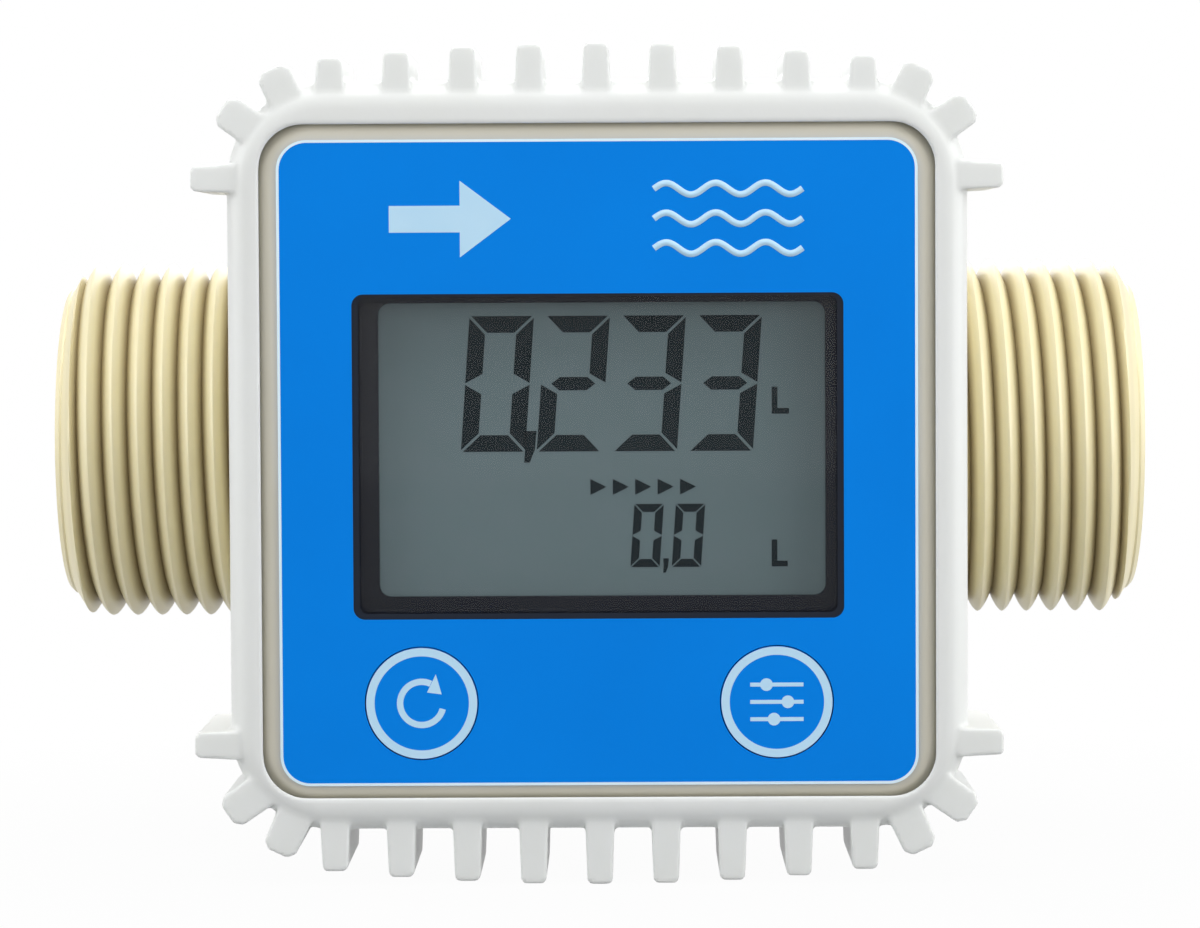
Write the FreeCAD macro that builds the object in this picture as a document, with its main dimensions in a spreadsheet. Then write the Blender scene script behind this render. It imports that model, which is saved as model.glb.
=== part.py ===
import FreeCAD, Part
import math
import os
import Sketcher

# In-line turbine flow meter for a one inch hose or pipe line, in millimetres.
# The line runs along +X from the inlet end face at the origin, the display looks towards -Y,
# and +Z is up. Levels are distances in front of the line's axis, so a level of 38 is y = -38.

Vector = FreeCAD.Vector
FRONT_TURN = FreeCAD.Rotation(Vector(1, 0, 0), 90)

SIZES = [
    ("line_length", 100.0, "inlet face to outlet face"),
    ("thread_major", 33.249, "outside of the one inch parallel pipe thread"),
    ("thread_length", 17.1, "threaded length of each end"),
    ("pilot_step", 2.12, "plain pilot below the thread's outside"),
    ("pilot_length", 0.6, "plain pilot ahead of the thread"),
    ("lead_length", 1.3, "cone from the pilot to the thread's outside"),
    ("pilot_bevel", 0.4, "bevel on the end face"),
    ("barrel_step", 0.57, "rotor barrel above the thread's outside"),
    ("line_wall", 3.42, "wall from the thread's outside to the bore at each end"),
    ("seat_step", 0.2, "straightener's seat inside the bore at each end"),
    ("nose_room", 1.0, "straightener's seat beyond the tip of its nose"),
    ("shoulder_step", 1.0, "rotor chamber inside the straightener's seat"),
    ("chamber_length", 28.0, "between the two shoulders"),
    ("straightener_length", 10.0, "depth of the straightener's outer ring"),
    ("straightener_play", 0.1, "radial gap of the straightener in the bore"),
    ("straightener_wall", 1.1, "wall of the straightener's outer ring"),
    ("straightener_hub", 10.0, "diameter of the straightener's hub and round nose"),
    ("straightener_vane", 1.4, "thickness of each straightener vane"),
    ("ring_groove_depth", 1.0, "radial depth of the retaining ring's groove"),
    ("ring_thickness", 1.2, "retaining ring"),
    ("ring_radial", 1.9, "retaining ring radial width"),
    ("ring_gap", 4.0, "open gap of the retaining ring"),
    ("ring_play", 0.05, "retaining ring clearance in its groove"),
    ("shaft_diameter", 2.0, "rotor shaft"),
    ("shaft_entry", 3.0, "rotor shaft inside each bush"),
    ("shaft_play", 0.04, "radial running clearance of the shaft in its bush"),
    ("bush_diameter", 4.0, "outside of each bearing bush"),
    ("bush_length", 3.6, "bearing bush"),
    ("bush_room", 0.6, "seat in the straightener behind the bush"),
    ("washer_diameter", 3.6, "thrust washer"),
    ("washer_thickness", 0.4, "thrust washer"),
    ("end_play", 0.1, "axial play on each side of a thrust washer"),
    ("rotor_tip_gap", 0.5, "radial gap between the blade tips and the chamber"),
    ("rotor_hub", 10.0, "diameter of the rotor hub"),
    ("rotor_hub_length", 13.0, "length of the rotor hub"),
    ("rotor_neck", 3.6, "diameter of the rotor's necks beside the hub"),
    ("blade_inset", 0.5, "hub beyond the blades at each end"),
    ("blade_root", 0.8, "blade root inside the hub"),
    ("blade_thickness", 1.1, "thickness of a blade"),
    ("blade_twist", 42.0, "turn of a blade from edge to edge, degrees"),
    ("magnet_diameter", 2.4, "rotor magnet"),
    ("magnet_depth", 3.0, "rotor magnet"),
    ("magnet_wall", 0.7, "hub wall outside a magnet"),
    ("head_drop", 0.6, "display head's centre below the line's axis"),
    ("head_height", 60.0, "tray and cover upright"),
    ("head_corner", 5.5, "outer corner radius of tray and cover"),
    ("tray_wall", 2.6, "side wall of the tray"),
    ("skirt_depth", 4.5, "skirt behind the tray floor"),
    ("floor_thickness", 2.0, "tray floor"),
    ("floor_over_bore", 3.7, "tray floor's front in front of the bore"),
    ("cover_thickness", 2.2, "front cover"),
    ("cover_edge_land", 0.3, "straight edge left below the cover's round"),
    ("seal_width", 1.2, "seal groove and seal"),
    ("seal_depth", 0.8, "seal groove"),
    ("seal_play", 0.05, "side clearance of the seal in its groove"),
    ("case_screw_size", 2.9, "case screw shank"),
    ("case_screw_head", 5.4, "case screw head"),
    ("case_screw_rise", 1.9, "case screw head height"),
    ("screw_play", 0.15, "radial clearance of a screw in its hole"),
    ("screw_tip_room", 1.2, "room ahead of a board screw's tip"),
    ("column_wall", 0.4, "tray column beyond the cover boss"),
    ("boss_diameter", 6.0, "cover boss for a case screw"),
    ("boss_depth", 4.0, "cover boss length"),
    ("boss_end_wall", 1.0, "cover left in front of a case screw's tip"),
    ("boss_gap", 0.1, "between a cover boss and its tray column"),
    ("rim_depth", 1.5, "locating rim behind the cover"),
    ("rim_wall", 0.7, "locating rim wall"),
    ("rim_play", 0.2, "locating rim inside the tray"),
    ("gusset_thickness", 2.0, "gussets between barrel and tray"),
    ("gusset_at", 17.0, "gussets from the head's centre along the line"),
    ("gusset_foot", 4.0, "level of the gusset's foot on the barrel"),
    ("film_side_margin", 2.4, "cover beyond the printed film at the sides"),
    ("film_top_margin", 2.25, "cover beyond the printed film above"),
    ("film_bottom_margin", 1.95, "cover beyond the printed film below"),
    ("film_corner", 2.6, "printed film's corner radius"),
    ("film_thickness", 0.3, "printed film"),
    ("window_side_margin", 8.8, "head's edge to the display window at the sides"),
    ("window_top_margin", 15.55, "head's edge to the display window above"),
    ("window_corner", 1.0, "display window's corner radius"),
    ("lens_margin", 0.9, "lens beyond the window on each side"),
    ("lens_thickness", 1.0, "clear lens"),
    ("lens_play", 0.15, "lens in its rebate"),
    ("bezel_play", 0.1, "bezel inside the window"),
    ("bezel_wall", 0.6, "bezel wall inside the window"),
    ("bezel_margin", 1.2, "bezel flange beyond the window"),
    ("bezel_gap", 0.1, "bezel flange behind the cover"),
    ("bezel_ledge", 0.6, "bezel ledge in front of the display glass"),
    ("aperture_left", 2.14, "bezel ledge seen inside the window, left"),
    ("aperture_right", 1.47, "bezel ledge seen inside the window, right"),
    ("aperture_top", 0.8, "bezel ledge seen inside the window, above"),
    ("aperture_bottom", 1.8, "bezel ledge seen inside the window, below"),
    ("glass_inset", 0.2, "display glass inside the window's outline"),
    ("glass_thickness", 2.2, "display glass"),
    ("glass_setback", 0.9, "display glass behind the cover"),
    ("glass_play", 0.2, "display glass in the bezel"),
    ("reflector_thickness", 0.3, "reflector"),
    ("strip_width", 1.8, "conductive strip"),
    ("strip_inset", 0.3, "conductive strip from the glass's edge and the reflector"),
    ("strip_end_room", 1.0, "conductive strip from the glass's ends"),
    ("component_room", 1.55, "board to the cells"),
    ("board_thickness", 1.2, "circuit board"),
    ("board_margin", 2.4, "tray wall to the circuit board"),
    ("notch_play", 0.8, "board's corner notch round a cover boss"),
    ("standoff_length", 4.6, "cover standoffs for the board"),
    ("standoff_diameter", 4.4, "cover standoffs for the board"),
    ("standoff_across", 17.0, "upper board screws off centre"),
    ("standoff_inset", 4.3, "board screws from the board's edge"),
    ("board_screw_size", 2.0, "board screw shank"),
    ("board_screw_head", 3.8, "board screw head"),
    ("board_screw_rise", 1.1, "board screw head height"),
    ("key_across", 15.35, "keys off centre"),
    ("key_rim_gap", 0.3, "key flange from the cover's locating rim"),
    ("key_bezel_gap", 0.75, "key flange from the display bezel"),
    ("key_diameter", 9.7, "key face"),
    ("key_play", 0.08, "radial running clearance of a key in the cover"),
    ("key_flange_lip", 0.45, "key flange beyond the key face"),
    ("key_flange_thickness", 0.7, "key flange"),
    ("key_flange_gap", 0.15, "key flange behind the cover at rest"),
    ("key_stem", 3.0, "key stem"),
    ("key_bevel", 0.15, "bevel round the key face"),
    ("key_travel", 0.4, "travel of a key and its switch button"),
    ("key_stem_gap", 0.05, "key stem above the switch button"),
    ("switch_side", 6.0, "switch case, square"),
    ("switch_rise", 2.5, "switch case"),
    ("button_diameter", 3.4, "switch button"),
    ("button_rise", 0.7, "switch button above its case"),
    ("button_play", 0.05, "radial clearance of the switch button"),
    ("button_well", 2.0, "depth of the switch button's well"),
    ("cell_diameter", 10.5, "AAA cell"),
    ("cell_length", 43.5, "AAA cell without its nub"),
    ("nub_diameter", 3.8, "AAA cell nub"),
    ("nub_length", 1.0, "AAA cell nub"),
    ("cell_play", 0.25, "clearance round a cell in its trough"),
    ("cell_end_room", 1.5, "room for a contact at each end of a cell"),
    ("holder_floor", 0.8, "floor under a cell"),
    ("holder_wall", 1.0, "walls of the cell holder"),
    ("holder_rise", 9.5, "height of the cell holder"),
    ("holder_slot", 6.0, "slot between the troughs"),
    ("holder_end_room", 2.65, "tray beyond the holder at each end"),
    ("contact_thickness", 0.4, "contact strip"),
    ("contact_width", 7.0, "contact strip"),
    ("contact_tail", 2.0, "contact tail width"),
    ("sensor_length", 4.1, "pickup sensor along the line"),
    ("sensor_height", 3.0, "pickup sensor upright"),
    ("sensor_depth", 3.0, "pickup sensor"),
    ("sensor_play", 0.2, "pickup sensor in its pocket"),
    ("sensor_pocket", 2.2, "pocket in the tray floor"),
    ("sensor_lead", 0.5, "pickup sensor lead"),
    ("sensor_pitch", 1.27, "between pickup sensor leads"),
    ("chip_side", 7.0, "controller chip"),
    ("chip_rise", 1.0, "controller chip"),
    ("chip_across", 8.0, "controller chip off centre"),
    ("boot_play", 0.2, "rubber jacket round the head"),
    ("boot_wall", 1.8, "rubber jacket wall"),
    ("boot_top_extra", 0.8, "extra thickness of the jacket's upper wall"),
    ("boot_corner", 8.8, "rubber jacket's outer corner radius"),
    ("boot_lip_gap", 0.05, "jacket lip in front of the cover"),
    ("boot_lip", 0.45, "jacket lip thickness"),
    ("boot_side_cover", 0.9, "jacket lip over the cover's rim at the sides"),
    ("boot_end_cover", 0.9, "jacket lip over the cover's rim above and below"),
    ("boot_lip_corner", 3.8, "jacket opening's corner radius"),
    ("boot_round", 2.2, "radius round the jacket's front edge"),
    ("boot_hook", 1.2, "hook behind the tray's skirt"),
    ("boot_hook_reach", 1.4, "hook reach under the skirt"),
    ("boot_pipe_gap", 0.3, "jacket notch round the barrel"),
    ("tooth_depth", 16.0, "jacket tooth along its depth"),
    ("tooth_setback", 0.4, "teeth's front ends behind the jacket's front"),
    ("tooth_root_width", 2.55, "straight tooth at the wall"),
    ("tooth_tip_width", 2.2, "straight tooth at its tip"),
    ("tooth_tip_bevel", 0.3, "bevel along a straight tooth's tip"),
    ("fan_root_width", 3.2, "corner tooth at the wall"),
    ("fan_tip_width", 3.0, "corner tooth at its tip"),
    ("fan_tip_bevel", 0.6, "bevel along a corner tooth's tip"),
    ("tooth_pitch", 5.74, "between straight teeth"),
    ("tooth_rise", 6.0, "tip of the upper middle tooth beyond the head's edge"),
    ("tooth_fall", 6.7, "tip of the lower middle tooth beyond the head's edge"),
    ("tooth_sag", 1.2, "how much shorter the outermost straight teeth are"),
    ("tilted_inset_across", 4.7, "tilted tooth's foot from the head's side"),
    ("tilted_inset_up", 1.8, "tilted tooth's foot from the head's end"),
    ("tilted_angle", 25.0, "tilted tooth from upright, degrees"),
    ("tilted_length", 6.3, "tilted tooth from foot to tip"),
    ("diagonal_inset", 3.4, "diagonal tooth's foot from the head's edges"),
    ("diagonal_angle", 55.0, "diagonal tooth from upright, degrees"),
    ("diagonal_length", 6.9, "diagonal tooth from foot to tip"),
    ("side_tooth_inset", 5.5, "side tooth from the head's end"),
    ("side_tooth_rise", 5.0, "side tooth's tip beyond the head's side"),
]

STRAIGHT_TEETH_PER_SIDE = 9
VANE_COUNT = 4
BLADE_COUNT = 6
BLADE_SECTIONS = 5
CORNERS = [(1, 1), (-1, 1), (-1, -1), (1, -1)]

doc = FreeCAD.newDocument("flow_meter")
sheet = doc.addObject("Spreadsheet::Sheet", "dims")
for row, (alias, value, meaning) in enumerate(SIZES, start=1):
    sheet.set(f"A{row}", alias)
    sheet.set(f"B{row}", str(value))
    sheet.set(f"C{row}", meaning)
    sheet.setAlias(f"B{row}", alias)
doc.recompute()

nodes = []

# Expressions that several pieces share: first along the line, then levels from the rotor
# barrel forwards, then places on the head.
HALF_LINE = "dims.line_length / 2"
HALF_CHAMBER = "dims.chamber_length / 2"
LINE_RADIUS = "(dims.thread_major / 2 - dims.line_wall)"
SEAT_RADIUS = f"({LINE_RADIUS} - dims.seat_step)"
CHAMBER_RADIUS = f"({SEAT_RADIUS} - dims.shoulder_step)"
BARREL_RADIUS = "(dims.thread_major / 2 + dims.barrel_step)"
SHAFT_HOLE = "dims.shaft_diameter + 2 * dims.shaft_play"
NECK_END = f"({HALF_CHAMBER} - dims.washer_thickness - 2 * dims.end_play)"

FLOOR_FRONT = f"({LINE_RADIUS} + dims.floor_over_bore)"
FLOOR_BACK = f"({FLOOR_FRONT} - dims.floor_thickness)"
TRAY_BACK = f"({FLOOR_BACK} - dims.skirt_depth)"
CELL_LEVEL = f"({FLOOR_FRONT} + dims.holder_floor + dims.cell_play + dims.cell_diameter / 2)"
BOARD_BACK = f"({CELL_LEVEL} + dims.cell_diameter / 2 + dims.component_room)"
BOARD_FRONT = f"({BOARD_BACK} + dims.board_thickness)"
COVER_BACK = f"({BOARD_FRONT} + dims.standoff_length)"
COVER_FRONT = f"({COVER_BACK} + dims.cover_thickness)"
FILM_FRONT = f"({COVER_FRONT} + dims.film_thickness)"
LENS_BACK = f"({COVER_FRONT} - dims.lens_thickness)"
GLASS_FRONT = f"({COVER_BACK} - dims.glass_setback)"
GLASS_BACK = f"({GLASS_FRONT} - dims.glass_thickness)"
SWITCH_FRONT = f"({BOARD_FRONT} + dims.switch_rise)"
BUTTON_FRONT = f"({SWITCH_FRONT} + dims.button_rise)"
LIP_BACK = f"({COVER_FRONT} + dims.boot_lip_gap)"
BOOT_FRONT = f"({LIP_BACK} + dims.boot_lip)"

DROP = "-dims.head_drop"
TROUGH_LENGTH = "(dims.cell_length + dims.nub_length + 2 * dims.cell_end_room)"
TROUGH_WIDTH = "(dims.cell_diameter + 2 * dims.cell_play)"
CELL_UP = f"((dims.holder_slot + {TROUGH_WIDTH}) / 2 + dims.holder_wall)"
HEAD_WIDTH = (f"({TROUGH_LENGTH} + 2 * dims.holder_wall + 2 * dims.holder_end_room"
              " + 2 * dims.tray_wall)")
HEAD_HEIGHT = "dims.head_height"
ROOM_WIDTH = f"({HEAD_WIDTH} - 2 * dims.tray_wall)"
ROOM_HEIGHT = "(dims.head_height - 2 * dims.tray_wall)"
CASE_SCREW_ACROSS = f"({ROOM_WIDTH} / 2 - dims.rim_play - dims.boss_diameter / 2)"
CASE_SCREW_UP = f"({ROOM_HEIGHT} / 2 - dims.rim_play - dims.boss_diameter / 2)"
BOARD_HALF_WIDTH = f"({ROOM_WIDTH} / 2 - dims.board_margin)"
BOARD_HALF_HEIGHT = f"({ROOM_HEIGHT} / 2 - dims.board_margin)"
STANDOFF_UP = f"({BOARD_HALF_HEIGHT} - dims.standoff_inset)"
KEY_FLANGE = "(dims.key_diameter + 2 * dims.key_flange_lip)"
KEY_FLANGE_LOW = f"({ROOM_HEIGHT} / 2 - dims.rim_play - dims.rim_wall - dims.key_rim_gap)"
KEY_DOWN = f"({KEY_FLANGE_LOW} - {KEY_FLANGE} / 2)"
KEY_HOLE = "dims.key_diameter + 2 * dims.key_play"
WINDOW_LOW = f"({KEY_FLANGE_LOW} - {KEY_FLANGE} - dims.key_bezel_gap - dims.bezel_margin)"
WINDOW_HIGH = "(dims.head_height / 2 - dims.window_top_margin)"
WINDOW_WIDTH = f"({HEAD_WIDTH} - 2 * dims.window_side_margin)"
WINDOW_HEIGHT = f"({WINDOW_HIGH} + {WINDOW_LOW})"
WINDOW_UP = f"(({WINDOW_HIGH} - {WINDOW_LOW}) / 2)"
GLASS_WIDTH = f"({WINDOW_WIDTH} - 2 * dims.glass_inset)"
GLASS_HEIGHT = f"({WINDOW_HEIGHT} - 2 * dims.glass_inset)"
REFLECTOR_HEIGHT = f"({GLASS_HEIGHT} - 2 * dims.strip_width - 4 * dims.strip_inset)"
CASE_SCREW_HOLE = "dims.case_screw_size + 2 * dims.screw_play"
BOARD_SCREW_HOLE = "dims.board_screw_size + 2 * dims.screw_play"


def value_of(owner, text):
    """Number that an expression gives now."""
    result = owner.evalExpression(text)
    return float(getattr(result, "Value", result))


def node(obj, label):
    """Name a finished sub-part and keep it for export."""
    obj.Label = label
    nodes.append(obj)
    return obj


def place(obj, x=HALF_LINE, y="0", z=DROP, rotation=None):
    """Put a sub-part where the sheet says."""
    if rotation is not None:
        obj.Placement = FreeCAD.Placement(Vector(0, 0, 0), rotation)
    for axis, text in (("x", x), ("y", y), ("z", z)):
        obj.setExpression(f"Placement.Base.{axis}", text)
    return obj


def new_body(name):
    return doc.addObject("PartDesign::Body", name)


def sketch_on(body, name, plane, level="0", across="0", up="0", angle=None):
    """Sketch on one of the body's own origin planes, moved out to a level."""
    support = next(f for f in body.Origin.OriginFeatures if f.Role == plane)
    sketch = body.newObject("Sketcher::SketchObject", f"{body.Name}_{name}")
    sketch.AttachmentSupport = [(support, "")]
    sketch.MapMode = "FlatFace"
    if angle is not None:
        sketch.AttachmentOffset = FreeCAD.Placement(Vector(), FreeCAD.Rotation(Vector(0, 0, 1), 1))
        sketch.setExpression("AttachmentOffset.Rotation.Angle", angle)
    for axis, text in (("x", across), ("y", up), ("z", level)):
        if text != "0":
            sketch.setExpression(f"AttachmentOffset.Base.{axis}", text)
    return sketch


def bound(sketch, kind, targets, text):
    """Add one dimension to a sketch and bind it to the sheet."""
    number = value_of(sketch, text)
    index = sketch.addConstraint(Sketcher.Constraint(kind, *targets, number))
    sketch.setExpression(f"Constraints[{index}]", text)


def fix_point(sketch, piece, end, x, y):
    """Hold one point of the sketch at x and y."""
    if x == "0":
        sketch.addConstraint(Sketcher.Constraint("PointOnObject", piece, end, -2))
    else:
        bound(sketch, "DistanceX", (-1, 1, piece, end), x)
    if y == "0":
        sketch.addConstraint(Sketcher.Constraint("PointOnObject", piece, end, -1))
    else:
        bound(sketch, "DistanceY", (-1, 1, piece, end), y)


def polygon(sketch, corners):
    """Closed outline through the given corners."""
    spots = [Vector(value_of(sketch, x), value_of(sketch, y), 0) for x, y in corners]
    first = sketch.GeometryCount
    count = len(spots)
    for i in range(count):
        sketch.addGeometry(Part.LineSegment(spots[i], spots[(i + 1) % count]), False)
    for i in range(count):
        follower = first + (i + 1) % count
        sketch.addConstraint(Sketcher.Constraint("Coincident", first + i, 2, follower, 1))
    for i, (x, y) in enumerate(corners):
        fix_point(sketch, first + i, 1, x, y)


def circle(sketch, diameter, x="0", y="0"):
    spot = Vector(value_of(sketch, x), value_of(sketch, y), 0)
    round_edge = Part.Circle(spot, Vector(0, 0, 1), value_of(sketch, diameter) / 2)
    index = sketch.addGeometry(round_edge, False)
    bound(sketch, "Diameter", (index,), diameter)
    fix_point(sketch, index, 3, x, y)


def rounded_rect(sketch, width, height, corner, x="0", y="0"):
    """Rectangle with four equal round corners and its middle at x and y."""
    wide, high, radius = (value_of(sketch, text) for text in (width, height, corner))
    middle = Vector(value_of(sketch, x), value_of(sketch, y), 0)
    first = sketch.GeometryCount
    half = [(a * wide / 2, b * high / 2) for a, b in ((1, -1), (1, 1), (-1, 1), (-1, -1))]
    centres = [
        middle + Vector(a - math.copysign(radius, a), b - math.copysign(radius, b), 0) for a, b in half
    ]
    for i, centre in enumerate(centres):
        start = math.radians(90 * i - 90)
        before = centres[i - 1] + Vector(math.cos(start), math.sin(start), 0) * radius
        after = centre + Vector(math.cos(start), math.sin(start), 0) * radius
        sketch.addGeometry(Part.LineSegment(before, after), False)
        arc = Part.Circle(centre, Vector(0, 0, 1), radius)
        sketch.addGeometry(Part.ArcOfCircle(arc, start, start + math.pi / 2), False)
    for i in range(4):
        line = first + 2 * i
        arc = line + 1
        next_line = first + (2 * i + 2) % 8
        sketch.addConstraint(Sketcher.Constraint("Tangent", line, 2, arc, 1))
        sketch.addConstraint(Sketcher.Constraint("Tangent", arc, 2, next_line, 1))
        sketch.addConstraint(Sketcher.Constraint("Horizontal" if i % 2 == 0 else "Vertical", line))
        if i:
            sketch.addConstraint(Sketcher.Constraint("Equal", first + 1, arc))
    bound(sketch, "Radius", (first + 1,), corner)
    bound(sketch, "DistanceY", (-1, 1, first, 1), f"{y} - ({height}) / 2")
    bound(sketch, "DistanceX", (-1, 1, first + 2, 1), f"{x} + ({width}) / 2")
    bound(sketch, "DistanceY", (-1, 1, first + 4, 1), f"{y} + ({height}) / 2")
    bound(sketch, "DistanceX", (-1, 1, first + 6, 1), f"{x} - ({width}) / 2")


def add_pad(body, sketch, length, backwards=False, both_sides=False):
    pad = body.newObject("PartDesign::Pad", f"{sketch.Name}_pad")
    pad.Profile = sketch
    pad.setExpression("Length", length)
    pad.Reversed = backwards
    pad.Midplane = both_sides
    body.Tip = pad
    return pad


def add_pocket(body, sketch, length, towards_normal=False):
    """Cut along the sketch's normal when asked, otherwise against it."""
    pocket = body.newObject("PartDesign::Pocket", f"{sketch.Name}_pocket")
    pocket.Profile = sketch
    pocket.setExpression("Length", length)
    pocket.Reversed = towards_normal
    body.Tip = pocket
    return pocket


def add_turned(body, sketch, axis, kind="PartDesign::Revolution"):
    turned = body.newObject(kind, f"{sketch.Name}_turned")
    turned.Profile = sketch
    turned.ReferenceAxis = (sketch, [axis])
    turned.Angle = 360.0
    body.Tip = turned
    return turned


def polar_pattern(body, feature, sketch, count):
    pattern = body.newObject("PartDesign::PolarPattern", f"{feature.Name}_pattern")
    pattern.Originals = [feature]
    pattern.Axis = (sketch, ["N_Axis"])
    pattern.Angle = 360.0
    pattern.Occurrences = count
    body.Tip = pattern
    return pattern


def round_front_edge(body, level, radius):
    """Round the edges that lie at a level, all the way round."""
    doc.recompute()
    base = body.Tip
    front = -value_of(base, level)
    edges = [
        f"Edge{i}" for i, edge in enumerate(base.Shape.Edges, start=1)
        if abs(edge.BoundBox.YMin - front) < 1e-4 and abs(edge.BoundBox.YMax - front) < 1e-4
    ]
    rounding = body.newObject("PartDesign::Fillet", f"{base.Name}_round")
    rounding.Base = (base, edges)
    rounding.setExpression("Radius", radius)
    body.Tip = rounding


def box(name, length, depth, height, x, front, z):
    """Block centred on x and z whose front face lies at a level."""
    block = doc.addObject("Part::Box", name)
    block.setExpression("Length", length)
    block.setExpression("Width", depth)
    block.setExpression("Height", height)
    place(block, f"{HALF_LINE} + {x} - ({length}) / 2", f"-({front})",
          f"{z} - dims.head_drop - ({height}) / 2")
    return block


def front_cylinder(name, diameter, length, x, back, z):
    """Cylinder that points at the viewer from a level."""
    rod = doc.addObject("Part::Cylinder", name)
    rod.setExpression("Radius", f"({diameter}) / 2")
    rod.setExpression("Height", length)
    place(rod, f"{HALF_LINE} + {x}", f"-({back})", f"{z} - dims.head_drop", FRONT_TURN)
    return rod


def group(name, members):
    bundle = doc.addObject("Part::Compound", name)
    bundle.Links = members
    return bundle


def fused(name, members):
    joined = doc.addObject("Part::MultiFuse", name)
    joined.Shapes = members
    return joined


def cut(name, base, tool):
    result = doc.addObject("Part::Cut", name)
    result.Base = base
    result.Tool = tool
    return result


# Body moulding in glass-filled nylon: both threaded ends, the rotor barrel and the tray of the
# display head in one piece.
def make_meter_body():
    body = new_body("body_moulding")
    tray = sketch_on(body, "tray", "XZ_Plane", TRAY_BACK)
    rounded_rect(tray, HEAD_WIDTH, HEAD_HEIGHT, "dims.head_corner", y=DROP)
    add_pad(body, tray, f"{COVER_BACK} - {TRAY_BACK}")

    room_corner = "dims.head_corner - dims.tray_wall"
    skirt = sketch_on(body, "skirt", "XZ_Plane", TRAY_BACK)
    rounded_rect(skirt, ROOM_WIDTH, ROOM_HEIGHT, room_corner, y=DROP)
    add_pocket(body, skirt, "dims.skirt_depth", towards_normal=True)

    barrel = sketch_on(body, "barrel", "XY_Plane")
    major = "dims.thread_major / 2"
    pilot = f"({major} - dims.pilot_step)"
    thread_end = "(dims.pilot_length + dims.thread_length)"
    upper = [
        ("0", "0"),
        ("0", f"{pilot} - dims.pilot_bevel"),
        ("dims.pilot_bevel", pilot),
        ("dims.pilot_length", pilot),
        ("dims.pilot_length + dims.lead_length", major),
        (thread_end, major),
        (thread_end, BARREL_RADIUS),
    ]
    left = [(f"-{HALF_LINE} + {x}", y) for x, y in upper]
    right = [(f"{HALF_LINE} - ({x})", y) for x, y in reversed(upper)]
    polygon(barrel, left + right)
    add_turned(body, barrel, "H_Axis")

    room = sketch_on(body, "room", "XZ_Plane", COVER_BACK)
    rounded_rect(room, ROOM_WIDTH, ROOM_HEIGHT, room_corner, y=DROP)
    add_pocket(body, room, f"{COVER_BACK} - {FLOOR_FRONT}")

    groove_edge = "(dims.tray_wall - dims.seal_width)"
    seal = sketch_on(body, "seal_groove", "XZ_Plane", COVER_BACK)
    rounded_rect(seal, f"{HEAD_WIDTH} - {groove_edge}", f"{HEAD_HEIGHT} - {groove_edge}",
                 f"dims.head_corner - {groove_edge} / 2", y=DROP)
    rounded_rect(seal, f"{ROOM_WIDTH} + {groove_edge}", f"{ROOM_HEIGHT} + {groove_edge}",
                 f"{room_corner} + {groove_edge} / 2", y=DROP)
    add_pocket(body, seal, "dims.seal_depth")

    columns = sketch_on(body, "columns", "XZ_Plane", FLOOR_BACK)
    holes = sketch_on(body, "column_holes", "XZ_Plane", COVER_BACK)
    for x, z in CASE_SCREWS:
        circle(columns, "dims.boss_diameter + 2 * dims.column_wall", x, f"{z} - dims.head_drop")
        circle(holes, CASE_SCREW_HOLE, x, f"{z} - dims.head_drop")
    add_pad(body, columns, f"{COVER_BACK} - dims.boss_depth - dims.boss_gap - {FLOOR_BACK}")
    add_pocket(body, holes, f"{COVER_BACK} - {TRAY_BACK}")

    for side in (-1, 1):
        for up in (-1, 1):
            name = f"gusset_{'right' if side > 0 else 'left'}_{'top' if up > 0 else 'bottom'}"
            gusset = sketch_on(body, name, "YZ_Plane", f"{side} * dims.gusset_at")
            end = f"{up} * (dims.head_height - dims.tray_wall) / 2 - dims.head_drop"
            polygon(gusset, [
                (f"-{FLOOR_BACK}", f"{up} * {CHAMBER_RADIUS}"),
                (f"-{FLOOR_BACK}", end),
                (f"-{TRAY_BACK}", end),
                ("-dims.gusset_foot", f"{up} * {BARREL_RADIUS}"),
                ("-dims.gusset_foot", f"{up} * {CHAMBER_RADIUS}"),
            ])
            add_pad(body, gusset, "dims.gusset_thickness", both_sides=True)

    passage = sketch_on(body, "passage", "XY_Plane")
    groove = f"{SEAT_RADIUS} + dims.ring_groove_depth"
    groove_start = f"{HALF_CHAMBER} + dims.straightener_length + dims.ring_play"
    groove_end = f"{groove_start} + dims.ring_thickness + 2 * dims.ring_play"
    nose_tip = f"{HALF_CHAMBER} + dims.straightener_length + dims.straightener_hub / 2"
    seat_end = f"{nose_tip} + dims.nose_room"
    steps = [
        (HALF_CHAMBER, CHAMBER_RADIUS),
        (HALF_CHAMBER, SEAT_RADIUS),
        (groove_start, SEAT_RADIUS),
        (groove_start, groove),
        (groove_end, groove),
        (groove_end, SEAT_RADIUS),
        (seat_end, SEAT_RADIUS),
        (seat_end, LINE_RADIUS),
        (HALF_LINE, LINE_RADIUS),
        (HALF_LINE, "0"),
    ]
    inlet_side = [(f"-({x})", y) for x, y in reversed(steps)]
    polygon(passage, inlet_side + steps)
    add_turned(body, passage, "H_Axis", "PartDesign::Groove")

    pocket = sketch_on(body, "sensor_pocket", "XZ_Plane", FLOOR_FRONT)
    rounded_rect(pocket, "dims.sensor_length + 2 * dims.sensor_play",
                 "dims.sensor_height + 2 * dims.sensor_play", "dims.sensor_play")
    add_pocket(body, pocket, "dims.sensor_pocket")
    node(place(body, z="0"), "meter_body")


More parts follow.
